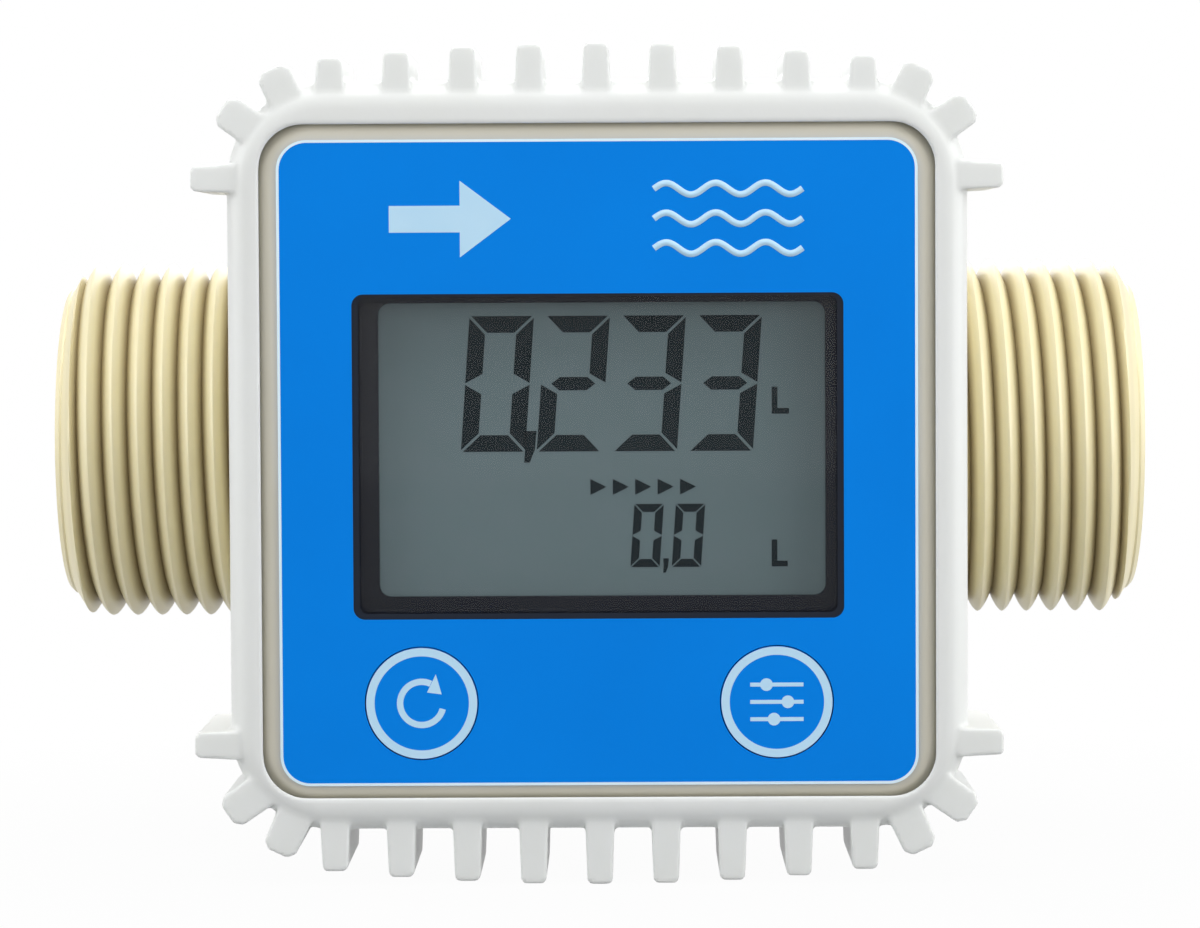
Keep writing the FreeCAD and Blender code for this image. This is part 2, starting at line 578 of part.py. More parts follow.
# Flat cord seal in the groove round the tray's front edge.
def make_head_seal():
    body = new_body("seal_cord")
    ring = sketch_on(body, "ring", "XZ_Plane", f"{COVER_BACK} - dims.seal_depth")
    for across_seal in ("- dims.seal_width + 2 * dims.seal_play",
                        "+ dims.seal_width - 2 * dims.seal_play"):
        inset = f"(dims.tray_wall {across_seal})"
        rounded_rect(ring, f"{HEAD_WIDTH} - {inset}", f"{HEAD_HEIGHT} - {inset}",
                     f"dims.head_corner - {inset} / 2", y=DROP)
    add_pad(body, ring, "dims.seal_depth")
    node(place(body, z="0"), "head_seal")


# Front cover, a clear-coated ivory moulding that carries the window, the keys and the board.
def make_front_cover():
    body = new_body("cover_moulding")
    plate = sketch_on(body, "plate", "XZ_Plane", COVER_BACK)
    rounded_rect(plate, HEAD_WIDTH, HEAD_HEIGHT, "dims.head_corner")
    add_pad(body, plate, "dims.cover_thickness")
    round_front_edge(body, COVER_FRONT, "dims.cover_thickness - dims.cover_edge_land")

    rim_width = f"({ROOM_WIDTH} - 2 * dims.rim_play)"
    rim_height = f"({ROOM_HEIGHT} - 2 * dims.rim_play)"
    rim_corner = "(dims.head_corner - dims.tray_wall - dims.rim_play)"
    rim = sketch_on(body, "rim", "XZ_Plane", f"{COVER_BACK} - dims.rim_depth")
    rounded_rect(rim, rim_width, rim_height, rim_corner)
    rounded_rect(rim, f"{rim_width} - 2 * dims.rim_wall", f"{rim_height} - 2 * dims.rim_wall",
                 f"{rim_corner} - dims.rim_wall")
    add_pad(body, rim, "dims.rim_depth")

    bosses = sketch_on(body, "bosses", "XZ_Plane", f"{COVER_BACK} - dims.boss_depth")
    boss_holes = sketch_on(body, "boss_holes", "XZ_Plane", f"{COVER_BACK} - dims.boss_depth")
    for x, z in CASE_SCREWS:
        circle(bosses, "dims.boss_diameter", x, z)
        circle(boss_holes, CASE_SCREW_HOLE, x, z)
    add_pad(body, bosses, "dims.boss_depth")
    add_pocket(body, boss_holes, "dims.cover_thickness + dims.boss_depth - dims.boss_end_wall",
               towards_normal=True)

    posts = sketch_on(body, "standoffs", "XZ_Plane", BOARD_FRONT)
    post_holes = sketch_on(body, "standoff_holes", "XZ_Plane", BOARD_FRONT)
    for x, z in BOARD_SCREWS:
        circle(posts, "dims.standoff_diameter", x, z)
        circle(post_holes, BOARD_SCREW_HOLE, x, z)
    add_pad(body, posts, "dims.standoff_length")
    add_pocket(body, post_holes, "dims.standoff_length", towards_normal=True)

    window = sketch_on(body, "window", "XZ_Plane", COVER_FRONT)
    rounded_rect(window, WINDOW_WIDTH, WINDOW_HEIGHT, "dims.window_corner", y=WINDOW_UP)
    add_pocket(body, window, "dims.cover_thickness")
    rebate = sketch_on(body, "rebate", "XZ_Plane", COVER_FRONT)
    rounded_rect(rebate, f"{WINDOW_WIDTH} + 2 * dims.lens_margin + 2 * dims.lens_play",
                 f"{WINDOW_HEIGHT} + 2 * dims.lens_margin + 2 * dims.lens_play",
                 "dims.window_corner + dims.lens_margin", y=WINDOW_UP)
    add_pocket(body, rebate, "dims.lens_thickness")
    key_holes = sketch_on(body, "key_holes", "XZ_Plane", COVER_FRONT)
    for side in (-1, 1):
        circle(key_holes, KEY_HOLE, f"{side} * dims.key_across", f"-{KEY_DOWN}")
    add_pocket(body, key_holes, "dims.cover_thickness")
    node(place(body), "front_cover")


# Printed film glued to the cover, with openings over the lens and the two keys.
def make_overlay():
    body = new_body("film")
    outline = sketch_on(body, "outline", "XZ_Plane", COVER_FRONT)
    rounded_rect(outline, f"{HEAD_WIDTH} - 2 * dims.film_side_margin",
                 f"{HEAD_HEIGHT} - dims.film_top_margin - dims.film_bottom_margin",
                 "dims.film_corner", y="(dims.film_bottom_margin - dims.film_top_margin) / 2")
    rounded_rect(outline, WINDOW_WIDTH, WINDOW_HEIGHT, "dims.window_corner", y=WINDOW_UP)
    for side in (-1, 1):
        circle(outline, KEY_HOLE, f"{side} * dims.key_across", f"-{KEY_DOWN}")
    add_pad(body, outline, "dims.film_thickness")
    node(place(body), "overlay_film")


# Clear lens in the rebate under the film's edge.
def make_lens():
    body = new_body("lens")
    outline = sketch_on(body, "outline", "XZ_Plane", LENS_BACK)
    rounded_rect(outline, f"{WINDOW_WIDTH} + 2 * dims.lens_margin",
                 f"{WINDOW_HEIGHT} + 2 * dims.lens_margin",
                 "dims.window_corner + dims.lens_margin - dims.lens_play", y=WINDOW_UP)
    add_pad(body, outline, "dims.lens_thickness")
    node(place(body), "window_lens")


# Display stack: black bezel, display glass, reflector, two conductive strips.
def make_bezel():
    body = new_body("bezel")
    flange_front = f"({COVER_BACK} - dims.bezel_gap)"
    back = sketch_on(body, "flange", "XZ_Plane", BOARD_FRONT)
    rounded_rect(back, f"{WINDOW_WIDTH} + 2 * dims.bezel_margin",
                 f"{WINDOW_HEIGHT} + 2 * dims.bezel_margin", "dims.window_corner", y=WINDOW_UP)
    add_pad(body, back, f"{flange_front} - {BOARD_FRONT}")

    nose_width = f"({WINDOW_WIDTH} - 2 * dims.bezel_play)"
    nose_height = f"({WINDOW_HEIGHT} - 2 * dims.bezel_play)"
    nose_corner = "dims.window_corner - dims.bezel_play"
    nose = sketch_on(body, "nose", "XZ_Plane", flange_front)
    rounded_rect(nose, nose_width, nose_height, nose_corner, y=WINDOW_UP)
    add_pad(body, nose, f"{LENS_BACK} - {flange_front}")
    mouth = sketch_on(body, "mouth", "XZ_Plane", LENS_BACK)
    rounded_rect(mouth, f"{nose_width} - 2 * dims.bezel_wall",
                 f"{nose_height} - 2 * dims.bezel_wall", nose_corner, y=WINDOW_UP)
    add_pocket(body, mouth, f"{LENS_BACK} - {GLASS_FRONT} - dims.bezel_ledge")

    aperture = sketch_on(body, "aperture", "XZ_Plane", LENS_BACK)
    rounded_rect(aperture, f"{WINDOW_WIDTH} - dims.aperture_left - dims.aperture_right",
                 f"{WINDOW_HEIGHT} - dims.aperture_top - dims.aperture_bottom",
                 "dims.window_corner", x="(dims.aperture_left - dims.aperture_right) / 2",
                 y=f"{WINDOW_UP} + (dims.aperture_bottom - dims.aperture_top) / 2")
    add_pocket(body, aperture, f"{LENS_BACK} - {BOARD_FRONT}")
    well = sketch_on(body, "well", "XZ_Plane", BOARD_FRONT)
    rounded_rect(well, f"{GLASS_WIDTH} + 2 * dims.glass_play",
                 f"{GLASS_HEIGHT} + 2 * dims.glass_play", "dims.glass_play", y=WINDOW_UP)
    add_pocket(body, well, f"{GLASS_FRONT} - {BOARD_FRONT}", towards_normal=True)
    node(place(body), "lcd_bezel")


def make_display():
    glass = box("glass", GLASS_WIDTH, "dims.glass_thickness", GLASS_HEIGHT,
                "0", GLASS_FRONT, WINDOW_UP)
    node(glass, "lcd_glass")
    reflector = box("reflector", GLASS_WIDTH, "dims.reflector_thickness", REFLECTOR_HEIGHT,
                    "0", GLASS_BACK, WINDOW_UP)
    node(reflector, "lcd_reflector")
    strip_up = f"(({REFLECTOR_HEIGHT} + dims.strip_width) / 2 + dims.strip_inset)"
    for side, label in ((1, "upper_contact_strip"), (-1, "lower_contact_strip")):
        strip = box(f"strip_{label}", f"{GLASS_WIDTH} - 2 * dims.strip_end_room",
                    f"{GLASS_BACK} - {BOARD_FRONT}", "dims.strip_width",
                    "0", GLASS_BACK, f"{WINDOW_UP} + {side} * {strip_up}")
        node(strip, label)


# Circuit board with notched corners, and what is soldered to it.
def make_board():
    body = new_body("board")
    outline = sketch_on(body, "outline", "XZ_Plane", BOARD_BACK)
    notch_reach = "(dims.boss_diameter / 2 + dims.notch_play)"
    notch_x = f"({CASE_SCREW_ACROSS} - {notch_reach})"
    notch_z = f"({CASE_SCREW_UP} - {notch_reach})"
    quarter = [(BOARD_HALF_WIDTH, notch_z), (notch_x, notch_z), (notch_x, BOARD_HALF_HEIGHT)]
    corners = quarter + [(f"-{x}", z) for x, z in reversed(quarter)]
    corners += [(f"-{x}", f"-{z}") for x, z in quarter]
    corners += [(x, f"-{z}") for x, z in reversed(quarter)]
    polygon(outline, corners)
    for x, z in BOARD_SCREWS:
        circle(outline, BOARD_SCREW_HOLE, x, z)
    add_pad(body, outline, "dims.board_thickness")
    node(place(body), "circuit_board")

    chip = box("chip", "dims.chip_side", "dims.chip_rise", "dims.chip_side",
               "dims.chip_across", BOARD_BACK, "0")
    node(chip, "controller_chip")


def make_sensor():
    """Field sensor in the tray floor's pocket, on three straight leads to the board."""
    sensor_front = f"({FLOOR_FRONT} - dims.sensor_pocket + dims.sensor_depth)"
    case = box("sensor_case", "dims.sensor_length", "dims.sensor_depth", "dims.sensor_height",
               "0", sensor_front, "dims.head_drop")
    members = [case]
    for i in (-1, 0, 1):
        lead = box(f"sensor_lead_{i + 2}", "dims.sensor_lead", f"{BOARD_BACK} - {sensor_front}",
                   "dims.sensor_lead", f"{i} * dims.sensor_pitch", BOARD_BACK, "dims.head_drop")
        members.append(lead)
    node(fused("sensor", members), "pickup_sensor")


# Keys: a round face at the film's level, a flange behind the cover and a stem that rests just
# above its switch.
def make_keys():
    flange_front = f"({COVER_BACK} - dims.key_flange_gap)"
    flange_back = f"({flange_front} - dims.key_flange_thickness)"
    stem_end = f"{BUTTON_FRONT} + dims.key_stem_gap"
    well_floor = f"({SWITCH_FRONT} - dims.button_well)"
    button_back = f"({well_floor} + dims.key_travel + dims.key_stem_gap)"
    face = "dims.key_diameter / 2"
    for side, key in ((-1, "reset"), (1, "calibrate")):
        across = f"{side} * dims.key_across"
        body = new_body(f"{key}_cap")
        profile = sketch_on(body, "profile", "XZ_Plane")
        polygon(profile, [
            ("0", stem_end),
            ("dims.key_stem / 2", stem_end),
            ("dims.key_stem / 2", flange_back),
            (f"{KEY_FLANGE} / 2", flange_back),
            (f"{KEY_FLANGE} / 2", flange_front),
            (face, flange_front),
            (face, f"{FILM_FRONT} - dims.key_bevel"),
            (f"{face} - dims.key_bevel", FILM_FRONT),
            ("0", FILM_FRONT),
        ])
        add_turned(body, profile, "V_Axis")
        place(body, f"{HALF_LINE} + {across}", "0", f"-dims.head_drop - {KEY_DOWN}", FRONT_TURN)
        node(body, f"{key}_key")

        case = box(f"{key}_case_block", "dims.switch_side", "dims.switch_rise",
                   "dims.switch_side", across, SWITCH_FRONT, f"-{KEY_DOWN}")
        well = front_cylinder(f"{key}_well", "dims.button_diameter + 2 * dims.button_play",
                              "dims.button_well", across, well_floor, f"-{KEY_DOWN}")
        node(cut(f"{key}_case", case, well), f"{key}_switch")
        button = front_cylinder(f"{key}_button", "dims.button_diameter",
                                f"{BUTTON_FRONT} - {button_back}", across, button_back,
                                f"-{KEY_DOWN}")
        node(button, f"{key}_switch_button")


# Cell holder with two troughs, two AAA cells and their contacts.
def make_power():
    body = new_body("holder")
    outer = sketch_on(body, "outer", "XZ_Plane", FLOOR_FRONT)
    rounded_rect(outer, f"{TROUGH_LENGTH} + 2 * dims.holder_wall",
                 f"2 * {CELL_UP} + {TROUGH_WIDTH} + 2 * dims.holder_wall", "dims.holder_wall")
    rounded_rect(outer, TROUGH_LENGTH, "dims.holder_slot", "dims.holder_wall")
    add_pad(body, outer, "dims.holder_rise")
    holder_front = f"({FLOOR_FRONT} + dims.holder_rise)"
    troughs = sketch_on(body, "troughs", "XZ_Plane", holder_front)
    for up in (-1, 1):
        rounded_rect(troughs, TROUGH_LENGTH, TROUGH_WIDTH, "dims.cell_play",
                     y=f"{up} * {CELL_UP}")
    add_pocket(body, troughs, "dims.holder_rise - dims.holder_floor")
    node(place(body), "cell_holder")

    contacts = {"flat": [], "leaf": []}
    for up, label in ((1, "upper_cell"), (-1, "lower_cell")):
        cell = new_body(label)
        profile = sketch_on(cell, "profile", "XZ_Plane")
        start = f"-{up} * (dims.cell_length + dims.nub_length) / 2"
        shoulder = f"{start} + {up} * dims.cell_length"
        polygon(profile, [
            (start, "0"),
            (start, "dims.cell_diameter / 2"),
            (shoulder, "dims.cell_diameter / 2"),
            (shoulder, "dims.nub_diameter / 2"),
            (f"{shoulder} + {up} * dims.nub_length", "dims.nub_diameter / 2"),
            (f"{shoulder} + {up} * dims.nub_length", "0"),
        ])
        add_turned(cell, profile, "H_Axis")
        place(cell, y=f"-{CELL_LEVEL}", z=f"{up} * {CELL_UP} - dims.head_drop")
        node(cell, label)

        for end in (-1, 1):
            kind = "flat" if end == up else "leaf"
            name = f"{label}_{kind}"
            plate_x = f"{end} * ({TROUGH_LENGTH} / 2 - dims.contact_thickness / 2)"
            plate = box(f"{name}_plate", "dims.contact_thickness",
                        "dims.holder_rise - dims.holder_floor", "dims.contact_width", plate_x,
                        holder_front, f"{up} * {CELL_UP}")
            tail = box(f"{name}_tail", "dims.contact_thickness",
                       f"{BOARD_BACK} - {holder_front}", "dims.contact_tail", plate_x,
                       BOARD_BACK, f"{up} * {CELL_UP}")
            reach = "(dims.cell_end_room - dims.contact_thickness)"
            pad_x = f"{end} * ({TROUGH_LENGTH} / 2 - dims.contact_thickness - {reach} / 2)"
            pad = box(f"{name}_pad", reach, "dims.nub_diameter", "dims.nub_diameter", pad_x,
                      f"{CELL_LEVEL} + dims.nub_diameter / 2", f"{up} * {CELL_UP}")
            contacts[kind].append(fused(name, [plate, tail, pad]))
    node(group("flat_contacts", contacts["flat"]), "positive_contacts")
    node(group("leaf_contacts", contacts["leaf"]), "negative_contacts")


def make_screws(label, places, seat, size, length, head, rise):
    """Group of like pan head screws whose heads sit behind a level."""
    screws = []
    for i, (x, z) in enumerate(places, start=1):
        shank = front_cylinder(f"{label}_shank_{i}", size, length, x, seat, z)
        cap = front_cylinder(f"{label}_head_{i}", head, rise, x, f"{seat} - {rise}", z)
        screws.append(fused(f"{label}_{i}", [shank, cap]))
    node(group(f"{label}_group", screws), label)


# Flow straighteners with four vanes, a hub for the bush and a ball nose that points away from
# the rotor, each held by a retaining ring.
def make_straightener(side, label):
    body = new_body(f"{label}_moulding")
    disc = sketch_on(body, "disc", "XY_Plane")
    outer_radius = f"({SEAT_RADIUS} - dims.straightener_play)"
    circle(disc, f"2 * {outer_radius}")
    add_pad(body, disc, "dims.straightener_length")
    hub_radius = "dims.straightener_hub / 2"
    sector = sketch_on(body, "sector", "XY_Plane", "dims.straightener_length")
    sector_window(sector, f"({outer_radius} - dims.straightener_wall)", hub_radius,
                  "dims.straightener_vane / 2")
    window = add_pocket(body, sector, "dims.straightener_length")
    polar_pattern(body, window, disc, VANE_COUNT)
    nose = sketch_on(body, "nose", "XZ_Plane")
    ball_end(nose, hub_radius, "dims.straightener_length / 2", "dims.straightener_length")
    add_turned(body, nose, "V_Axis")
    seat = sketch_on(body, "bush_seat", "XY_Plane")
    circle(seat, "dims.bush_diameter")
    add_pocket(body, seat, "dims.bush_length + dims.bush_room", towards_normal=True)
    turn = FreeCAD.Rotation(Vector(0, 1, 0), 90 * side)
    place(body, f"{HALF_LINE} + {side} * {HALF_CHAMBER}", "0", "0", turn)
    node(body, label)


def sector_window(sketch, outer, inner, half_vane):
    """Quarter of a ring between two vanes, clear of each by half a vane."""
    big, small, gap = (value_of(sketch, text) for text in (outer, inner, half_vane))
    origin = Vector()
    up = Vector(0, 0, 1)

    def angles(radius):
        lean = math.asin(gap / radius)
        return lean, math.pi / 2 - lean

    big_low, big_high = angles(big)
    small_low, small_high = angles(small)
    outer_arc = Part.ArcOfCircle(Part.Circle(origin, up, big), big_low, big_high)
    inner_arc = Part.ArcOfCircle(Part.Circle(origin, up, small), small_low, small_high)
    side = Part.LineSegment(inner_arc.EndPoint, outer_arc.EndPoint)
    floor = Part.LineSegment(outer_arc.StartPoint, inner_arc.StartPoint)
    sketch.addGeometry([outer_arc, inner_arc, side, floor], False)
    for joint in ((0, 2, 2, 2), (1, 2, 2, 1), (0, 1, 3, 1), (1, 1, 3, 2)):
        sketch.addConstraint(Sketcher.Constraint("Coincident", *joint))
    for arc, radius in ((0, outer), (1, inner)):
        sketch.addConstraint(Sketcher.Constraint("Coincident", arc, 3, -1, 1))
        bound(sketch, "Radius", (arc,), radius)
    sketch.addConstraint(Sketcher.Constraint("Vertical", 2))
    sketch.addConstraint(Sketcher.Constraint("Horizontal", 3))
    bound(sketch, "DistanceX", (-1, 1, 2, 1), half_vane)
    bound(sketch, "DistanceY", (-1, 1, 3, 1), half_vane)


def ball_end(sketch, radius, foot, shoulder):
    """Half outline of a round bar up the sketch's own axis that ends in a half ball."""
    wide, low, high = (value_of(sketch, text) for text in (radius, foot, shoulder))
    start, corner, edge = Vector(0, low, 0), Vector(wide, low, 0), Vector(wide, high, 0)
    ball = Part.Circle(Vector(0, high, 0), Vector(0, 0, 1), wide)
    arc = Part.ArcOfCircle(ball, 0, math.pi / 2)
    sketch.addGeometry([
        Part.LineSegment(start, corner), Part.LineSegment(corner, edge), arc,
        Part.LineSegment(arc.EndPoint, start),
    ], False)
    for i in range(4):
        sketch.addConstraint(Sketcher.Constraint("Coincident", i, 2, (i + 1) % 4, 1))
    for piece, end, x, y in ((0, 1, "0", foot), (0, 2, radius, foot), (1, 2, radius, shoulder),
                             (2, 3, "0", shoulder)):
        fix_point(sketch, piece, end, x, y)
    sketch.addConstraint(Sketcher.Constraint("PointOnObject", 2, 2, -2))


def make_retaining_ring(side, label):
    body = new_body(f"{label}_wire")
    outer = f"({SEAT_RADIUS} + dims.ring_groove_depth - dims.ring_play)"
    inner = f"({outer} - dims.ring_radial)"
    ring = sketch_on(body, "ring", "XY_Plane")
    circle(ring, f"2 * {outer}")
    circle(ring, f"2 * {inner}")
    add_pad(body, ring, "dims.ring_thickness")
    gap = sketch_on(body, "gap", "XY_Plane")
    half_gap = "dims.ring_gap / 2"
    polygon(gap, [
        (half_gap, f"{inner} / 2"),
        (half_gap, f"{outer} + dims.ring_radial"),
        (f"-{half_gap}", f"{outer} + dims.ring_radial"),
        (f"-{half_gap}", f"{inner} / 2"),
    ])
    add_pocket(body, gap, "dims.ring_thickness", towards_normal=True)
    level = f"{HALF_CHAMBER} + dims.straightener_length + 2 * dims.ring_play"
    turn = FreeCAD.Rotation(Vector(0, 1, 0), 90 * side)
    place(body, f"{HALF_LINE} + {side} * ({level})", "0", "0", turn)
    node(body, label)


def make_sleeve(side, label, outer, length, start):
    """Short tube round the rotor shaft, such as a bush or a washer."""
    body = new_body(f"{label}_sleeve")
    ring = sketch_on(body, "ring", "XY_Plane")
    circle(ring, outer)
    circle(ring, SHAFT_HOLE)
    add_pad(body, ring, length)
    turn = FreeCAD.Rotation(Vector(0, 1, 0), 90 * side)
    place(body, f"{HALF_LINE} + {side} * ({start})", "0", "0", turn)
    node(body, label)


# Rotor: hub with necks, six twisted blades, two magnets let into one end, steel shaft.
def make_rotor():
    body = new_body("rotor")
    profile = sketch_on(body, "hub", "XZ_Plane")
    neck = "dims.rotor_neck / 2"
    hub = "dims.rotor_hub / 2"
    hub_end = "dims.rotor_hub_length / 2"
    shaft = "dims.shaft_diameter / 2"
    upper = [(shaft, NECK_END), (neck, NECK_END), (neck, hub_end), (hub, hub_end)]
    lower = [(x, f"-({z})") for x, z in reversed(upper)]
    polygon(profile, upper + lower)
    add_turned(body, profile, "V_Axis")

    root = f"{hub} - dims.blade_root"
    tip = f"{CHAMBER_RADIUS} - dims.rotor_tip_gap"
    half = "dims.blade_thickness / 2"
    sections = []
    for i in range(BLADE_SECTIONS):
        share = i / (BLADE_SECTIONS - 1) - 0.5
        section = sketch_on(body, f"blade_{i + 1}", "XY_Plane",
                            f"{share} * (dims.rotor_hub_length - 2 * dims.blade_inset)",
                            angle=f"{share} * dims.blade_twist")
        polygon(section, [(root, f"-{half}"), (tip, f"-{half}"), (tip, half), (root, half)])
        sections.append(section)
    blade = body.newObject("PartDesign::AdditiveLoft", "rotor_blade")
    blade.Profile = sections[0]
    blade.Sections = sections[1:]
    body.Tip = blade
    polar_pattern(body, blade, sections[BLADE_SECTIONS // 2], BLADE_COUNT)

    magnet_at = f"({hub} - dims.magnet_wall - dims.magnet_diameter / 2)"
    seats = sketch_on(body, "magnet_seats", "XY_Plane", hub_end)
    for side in (-1, 1):
        circle(seats, "dims.magnet_diameter", "0", f"{side} * {magnet_at}")
    add_pocket(body, seats, "dims.magnet_depth")
    turn = FreeCAD.Rotation(Vector(0, 1, 0), 90)
    node(place(body, z="0", rotation=turn), "turbine_rotor")

    magnets = []
    for side, name in ((-1, "magnet_low"), (1, "magnet_high")):
        magnet = doc.addObject("Part::Cylinder", name)
        magnet.setExpression("Radius", "dims.magnet_diameter / 2")
        magnet.setExpression("Height", "dims.magnet_depth")
        place(magnet, f"{HALF_LINE} + {hub_end} - dims.magnet_depth",
              f"{side} * {magnet_at}", "0", turn)
        magnets.append(magnet)
    node(group("magnet_pair", magnets), "rotor_magnets")

    pin = doc.addObject("Part::Cylinder", "shaft_rod")
    pin.setExpression("Radius", shaft)
    pin.setExpression("Height", f"2 * ({HALF_CHAMBER} + dims.shaft_entry)")
    place(pin, f"{HALF_LINE} - {HALF_CHAMBER} - dims.shaft_entry", "0", "0", turn)
    node(pin, "rotor_shaft")


# Rubber jacket with a lip over the cover's rim, a hook behind the tray's skirt, a notch round
# the barrel on each side and thirty teeth.
def make_tooth(body, name, kind, across, up, angle, length):
    """Tooth that tapers from its foot to a bevelled tip, turned clockwise by an angle."""
    sketch = sketch_on(body, name, "XZ_Plane", f"{BOOT_FRONT} - dims.tooth_setback",
                       across, up, f"-({angle})")
    root = f"dims.{kind}_root_width / 2"
    tip = f"dims.{kind}_tip_width / 2"
    bevel = f"dims.{kind}_tip_bevel"
    right = [(root, "0"), (tip, f"{length} - {bevel}"), (f"{tip} - {bevel}", length)]
    polygon(sketch, right + [(f"-({x})", y) for x, y in reversed(right)])
    add_pad(body, sketch, "dims.tooth_depth", backwards=True)


def make_boot():
    body = new_body("jacket")
    grow = "2 * (dims.boot_play + dims.boot_wall)"
    hook_back = f"({TRAY_BACK} - dims.boot_play - dims.boot_hook)"
    shell = sketch_on(body, "shell", "XZ_Plane", hook_back)
    rounded_rect(shell, f"{HEAD_WIDTH} + {grow}", f"{HEAD_HEIGHT} + {grow} + dims.boot_top_extra",
                 "dims.boot_corner", y="dims.boot_top_extra / 2")
    add_pad(body, shell, f"{BOOT_FRONT} - {hook_back}")
    round_front_edge(body, BOOT_FRONT, "dims.boot_round")

    middle = (STRAIGHT_TEETH_PER_SIDE - 1) // 2
    sunk = "(dims.boot_play + dims.boot_wall / 2)"
    for up, edge, reach in ((1, "top", "dims.tooth_rise"), (-1, "bottom", "dims.tooth_fall")):
        turn = "0" if up > 0 else "180"
        for i in range(-middle, middle + 1):
            make_tooth(body, f"{edge}_tooth_{i + middle + 1}", "tooth", f"{i} * dims.tooth_pitch",
                       f"{up} * (dims.head_height / 2 + {sunk})", turn,
                       f"{reach} - {sunk} - dims.tooth_sag * {(i / middle) ** 2}")
    half_width = f"{HEAD_WIDTH} / 2"
    half_height = "dims.head_height / 2"
    fan = (
        ("tilted", "fan", f"{half_width} - dims.tilted_inset_across",
         f"{half_height} - dims.tilted_inset_up", "dims.tilted_angle", "dims.tilted_length"),
        ("diagonal", "fan", f"{half_width} - dims.diagonal_inset",
         f"{half_height} - dims.diagonal_inset", "dims.diagonal_angle", "dims.diagonal_length"),
        ("side", "tooth", f"{half_width} + {sunk}", f"{half_height} - dims.side_tooth_inset",
         "90", f"dims.side_tooth_rise - {sunk}"),
    )
    for side, up in CORNERS:
        where = f"{'top' if up > 0 else 'bottom'}_{'right' if side > 0 else 'left'}"
        for name, kind, across, height, angle, length in fan:
            turn = f"{side} * {angle}" if up > 0 else f"180 - {side} * {angle}"
            make_tooth(body, f"{where}_{name}", kind, f"{side} * ({across})",
                       f"{up} * ({height})", turn, length)

    room = sketch_on(body, "room", "XZ_Plane", LIP_BACK)
    rounded_rect(room, f"{HEAD_WIDTH} + 2 * dims.boot_play",
                 f"{HEAD_HEIGHT} + 2 * dims.boot_play", "dims.head_corner + dims.boot_play")
    add_pocket(body, room, f"{LIP_BACK} - {TRAY_BACK} + dims.boot_play")
    hook = sketch_on(body, "hook", "XZ_Plane", TRAY_BACK)
    rounded_rect(hook, f"{HEAD_WIDTH} - 2 * dims.boot_hook_reach",
                 f"{HEAD_HEIGHT} - 2 * dims.boot_hook_reach",
                 "dims.head_corner - dims.boot_hook_reach")
    add_pocket(body, hook, "dims.boot_play + dims.boot_hook")
    opening = sketch_on(body, "opening", "XZ_Plane", BOOT_FRONT)
    rounded_rect(opening, f"{HEAD_WIDTH} - 2 * dims.boot_side_cover",
                 f"{HEAD_HEIGHT} - 2 * dims.boot_end_cover", "dims.boot_lip_corner")
    add_pocket(body, opening, "dims.boot_lip")
    notch = sketch_on(body, "notch", "YZ_Plane", f"-{HEAD_WIDTH}")
    circle(notch, f"2 * ({BARREL_RADIUS} + dims.boot_pipe_gap)", "0", "dims.head_drop")
    add_pocket(body, notch, f"2 * {HEAD_WIDTH}", towards_normal=True)
    node(place(body), "rubber_boot")


BOARD_SCREWS = [
    ("-dims.standoff_across", STANDOFF_UP),
    ("dims.standoff_across", STANDOFF_UP),
    ("0", f"-{STANDOFF_UP}"),
]
CASE_SCREWS = [(f"{side} * {CASE_SCREW_ACROSS}", f"{up} * {CASE_SCREW_UP}") for side, up in CORNERS]

make_meter_body()
make_head_seal()
make_front_cover()
make_overlay()
make_lens()
make_bezel()
make_display()
make_board()
make_sensor()
make_keys()
make_power()
make_screws("case_screws", CASE_SCREWS, FLOOR_BACK, "dims.case_screw_size",
            f"{COVER_FRONT} - dims.boss_end_wall - {FLOOR_BACK} - dims.screw_play",
            "dims.case_screw_head", "dims.case_screw_rise")
make_screws("board_screws", BOARD_SCREWS, BOARD_BACK, "dims.board_screw_size",
            f"{COVER_BACK} - {BOARD_BACK} - dims.screw_tip_room", "dims.board_screw_head",
            "dims.board_screw_rise")
for side, end in ((-1, "inlet"), (1, "outlet")):
    make_straightener(side, f"{end}_straightener")
    make_retaining_ring(side, f"{end}_retaining_ring")
    make_sleeve(side, f"{end}_bush", "dims.bush_diameter", "dims.bush_length", HALF_CHAMBER)
    make_sleeve(side, f"{end}_thrust_washer", "dims.washer_diameter", "dims.washer_thickness",
                f"{HALF_CHAMBER} - dims.end_play - dims.washer_thickness")
make_rotor()
make_boot()
doc.recompute()

# Every object is checked before anything is written.
for obj in doc.Objects:
    if "Invalid" in obj.State or "Error" in obj.State:
        raise RuntimeError(f"{obj.Name} failed: {obj.State}")
    if obj.isDerivedFrom("Sketcher::SketchObject") and obj.solve() != 0:
        raise RuntimeError(f"{obj.Name} does not solve")
    if obj.TypeId in ("PartDesign::Pocket", "PartDesign::Groove"):
        if obj.Shape.Volume >= obj.BaseFeature.Shape.Volume - 1e-6:
            raise RuntimeError(f"{obj.Name} cuts nothing")
os.makedirs("parts", exist_ok=True)
for obj in nodes:
    if obj.Shape.isNull() or not obj.Shape.isValid() or not obj.Shape.Solids:
        raise RuntimeError(f"{obj.Label} has no valid solid")
for obj in nodes:
    obj.Shape.exportStep(os.path.join("parts", f"{obj.Label}.step"))
    print(obj.Label, len(obj.Shape.Solids), round(obj.Shape.Volume, 2))
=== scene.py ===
import math

import bmesh
import bpy
from mathutils import Matrix, Vector


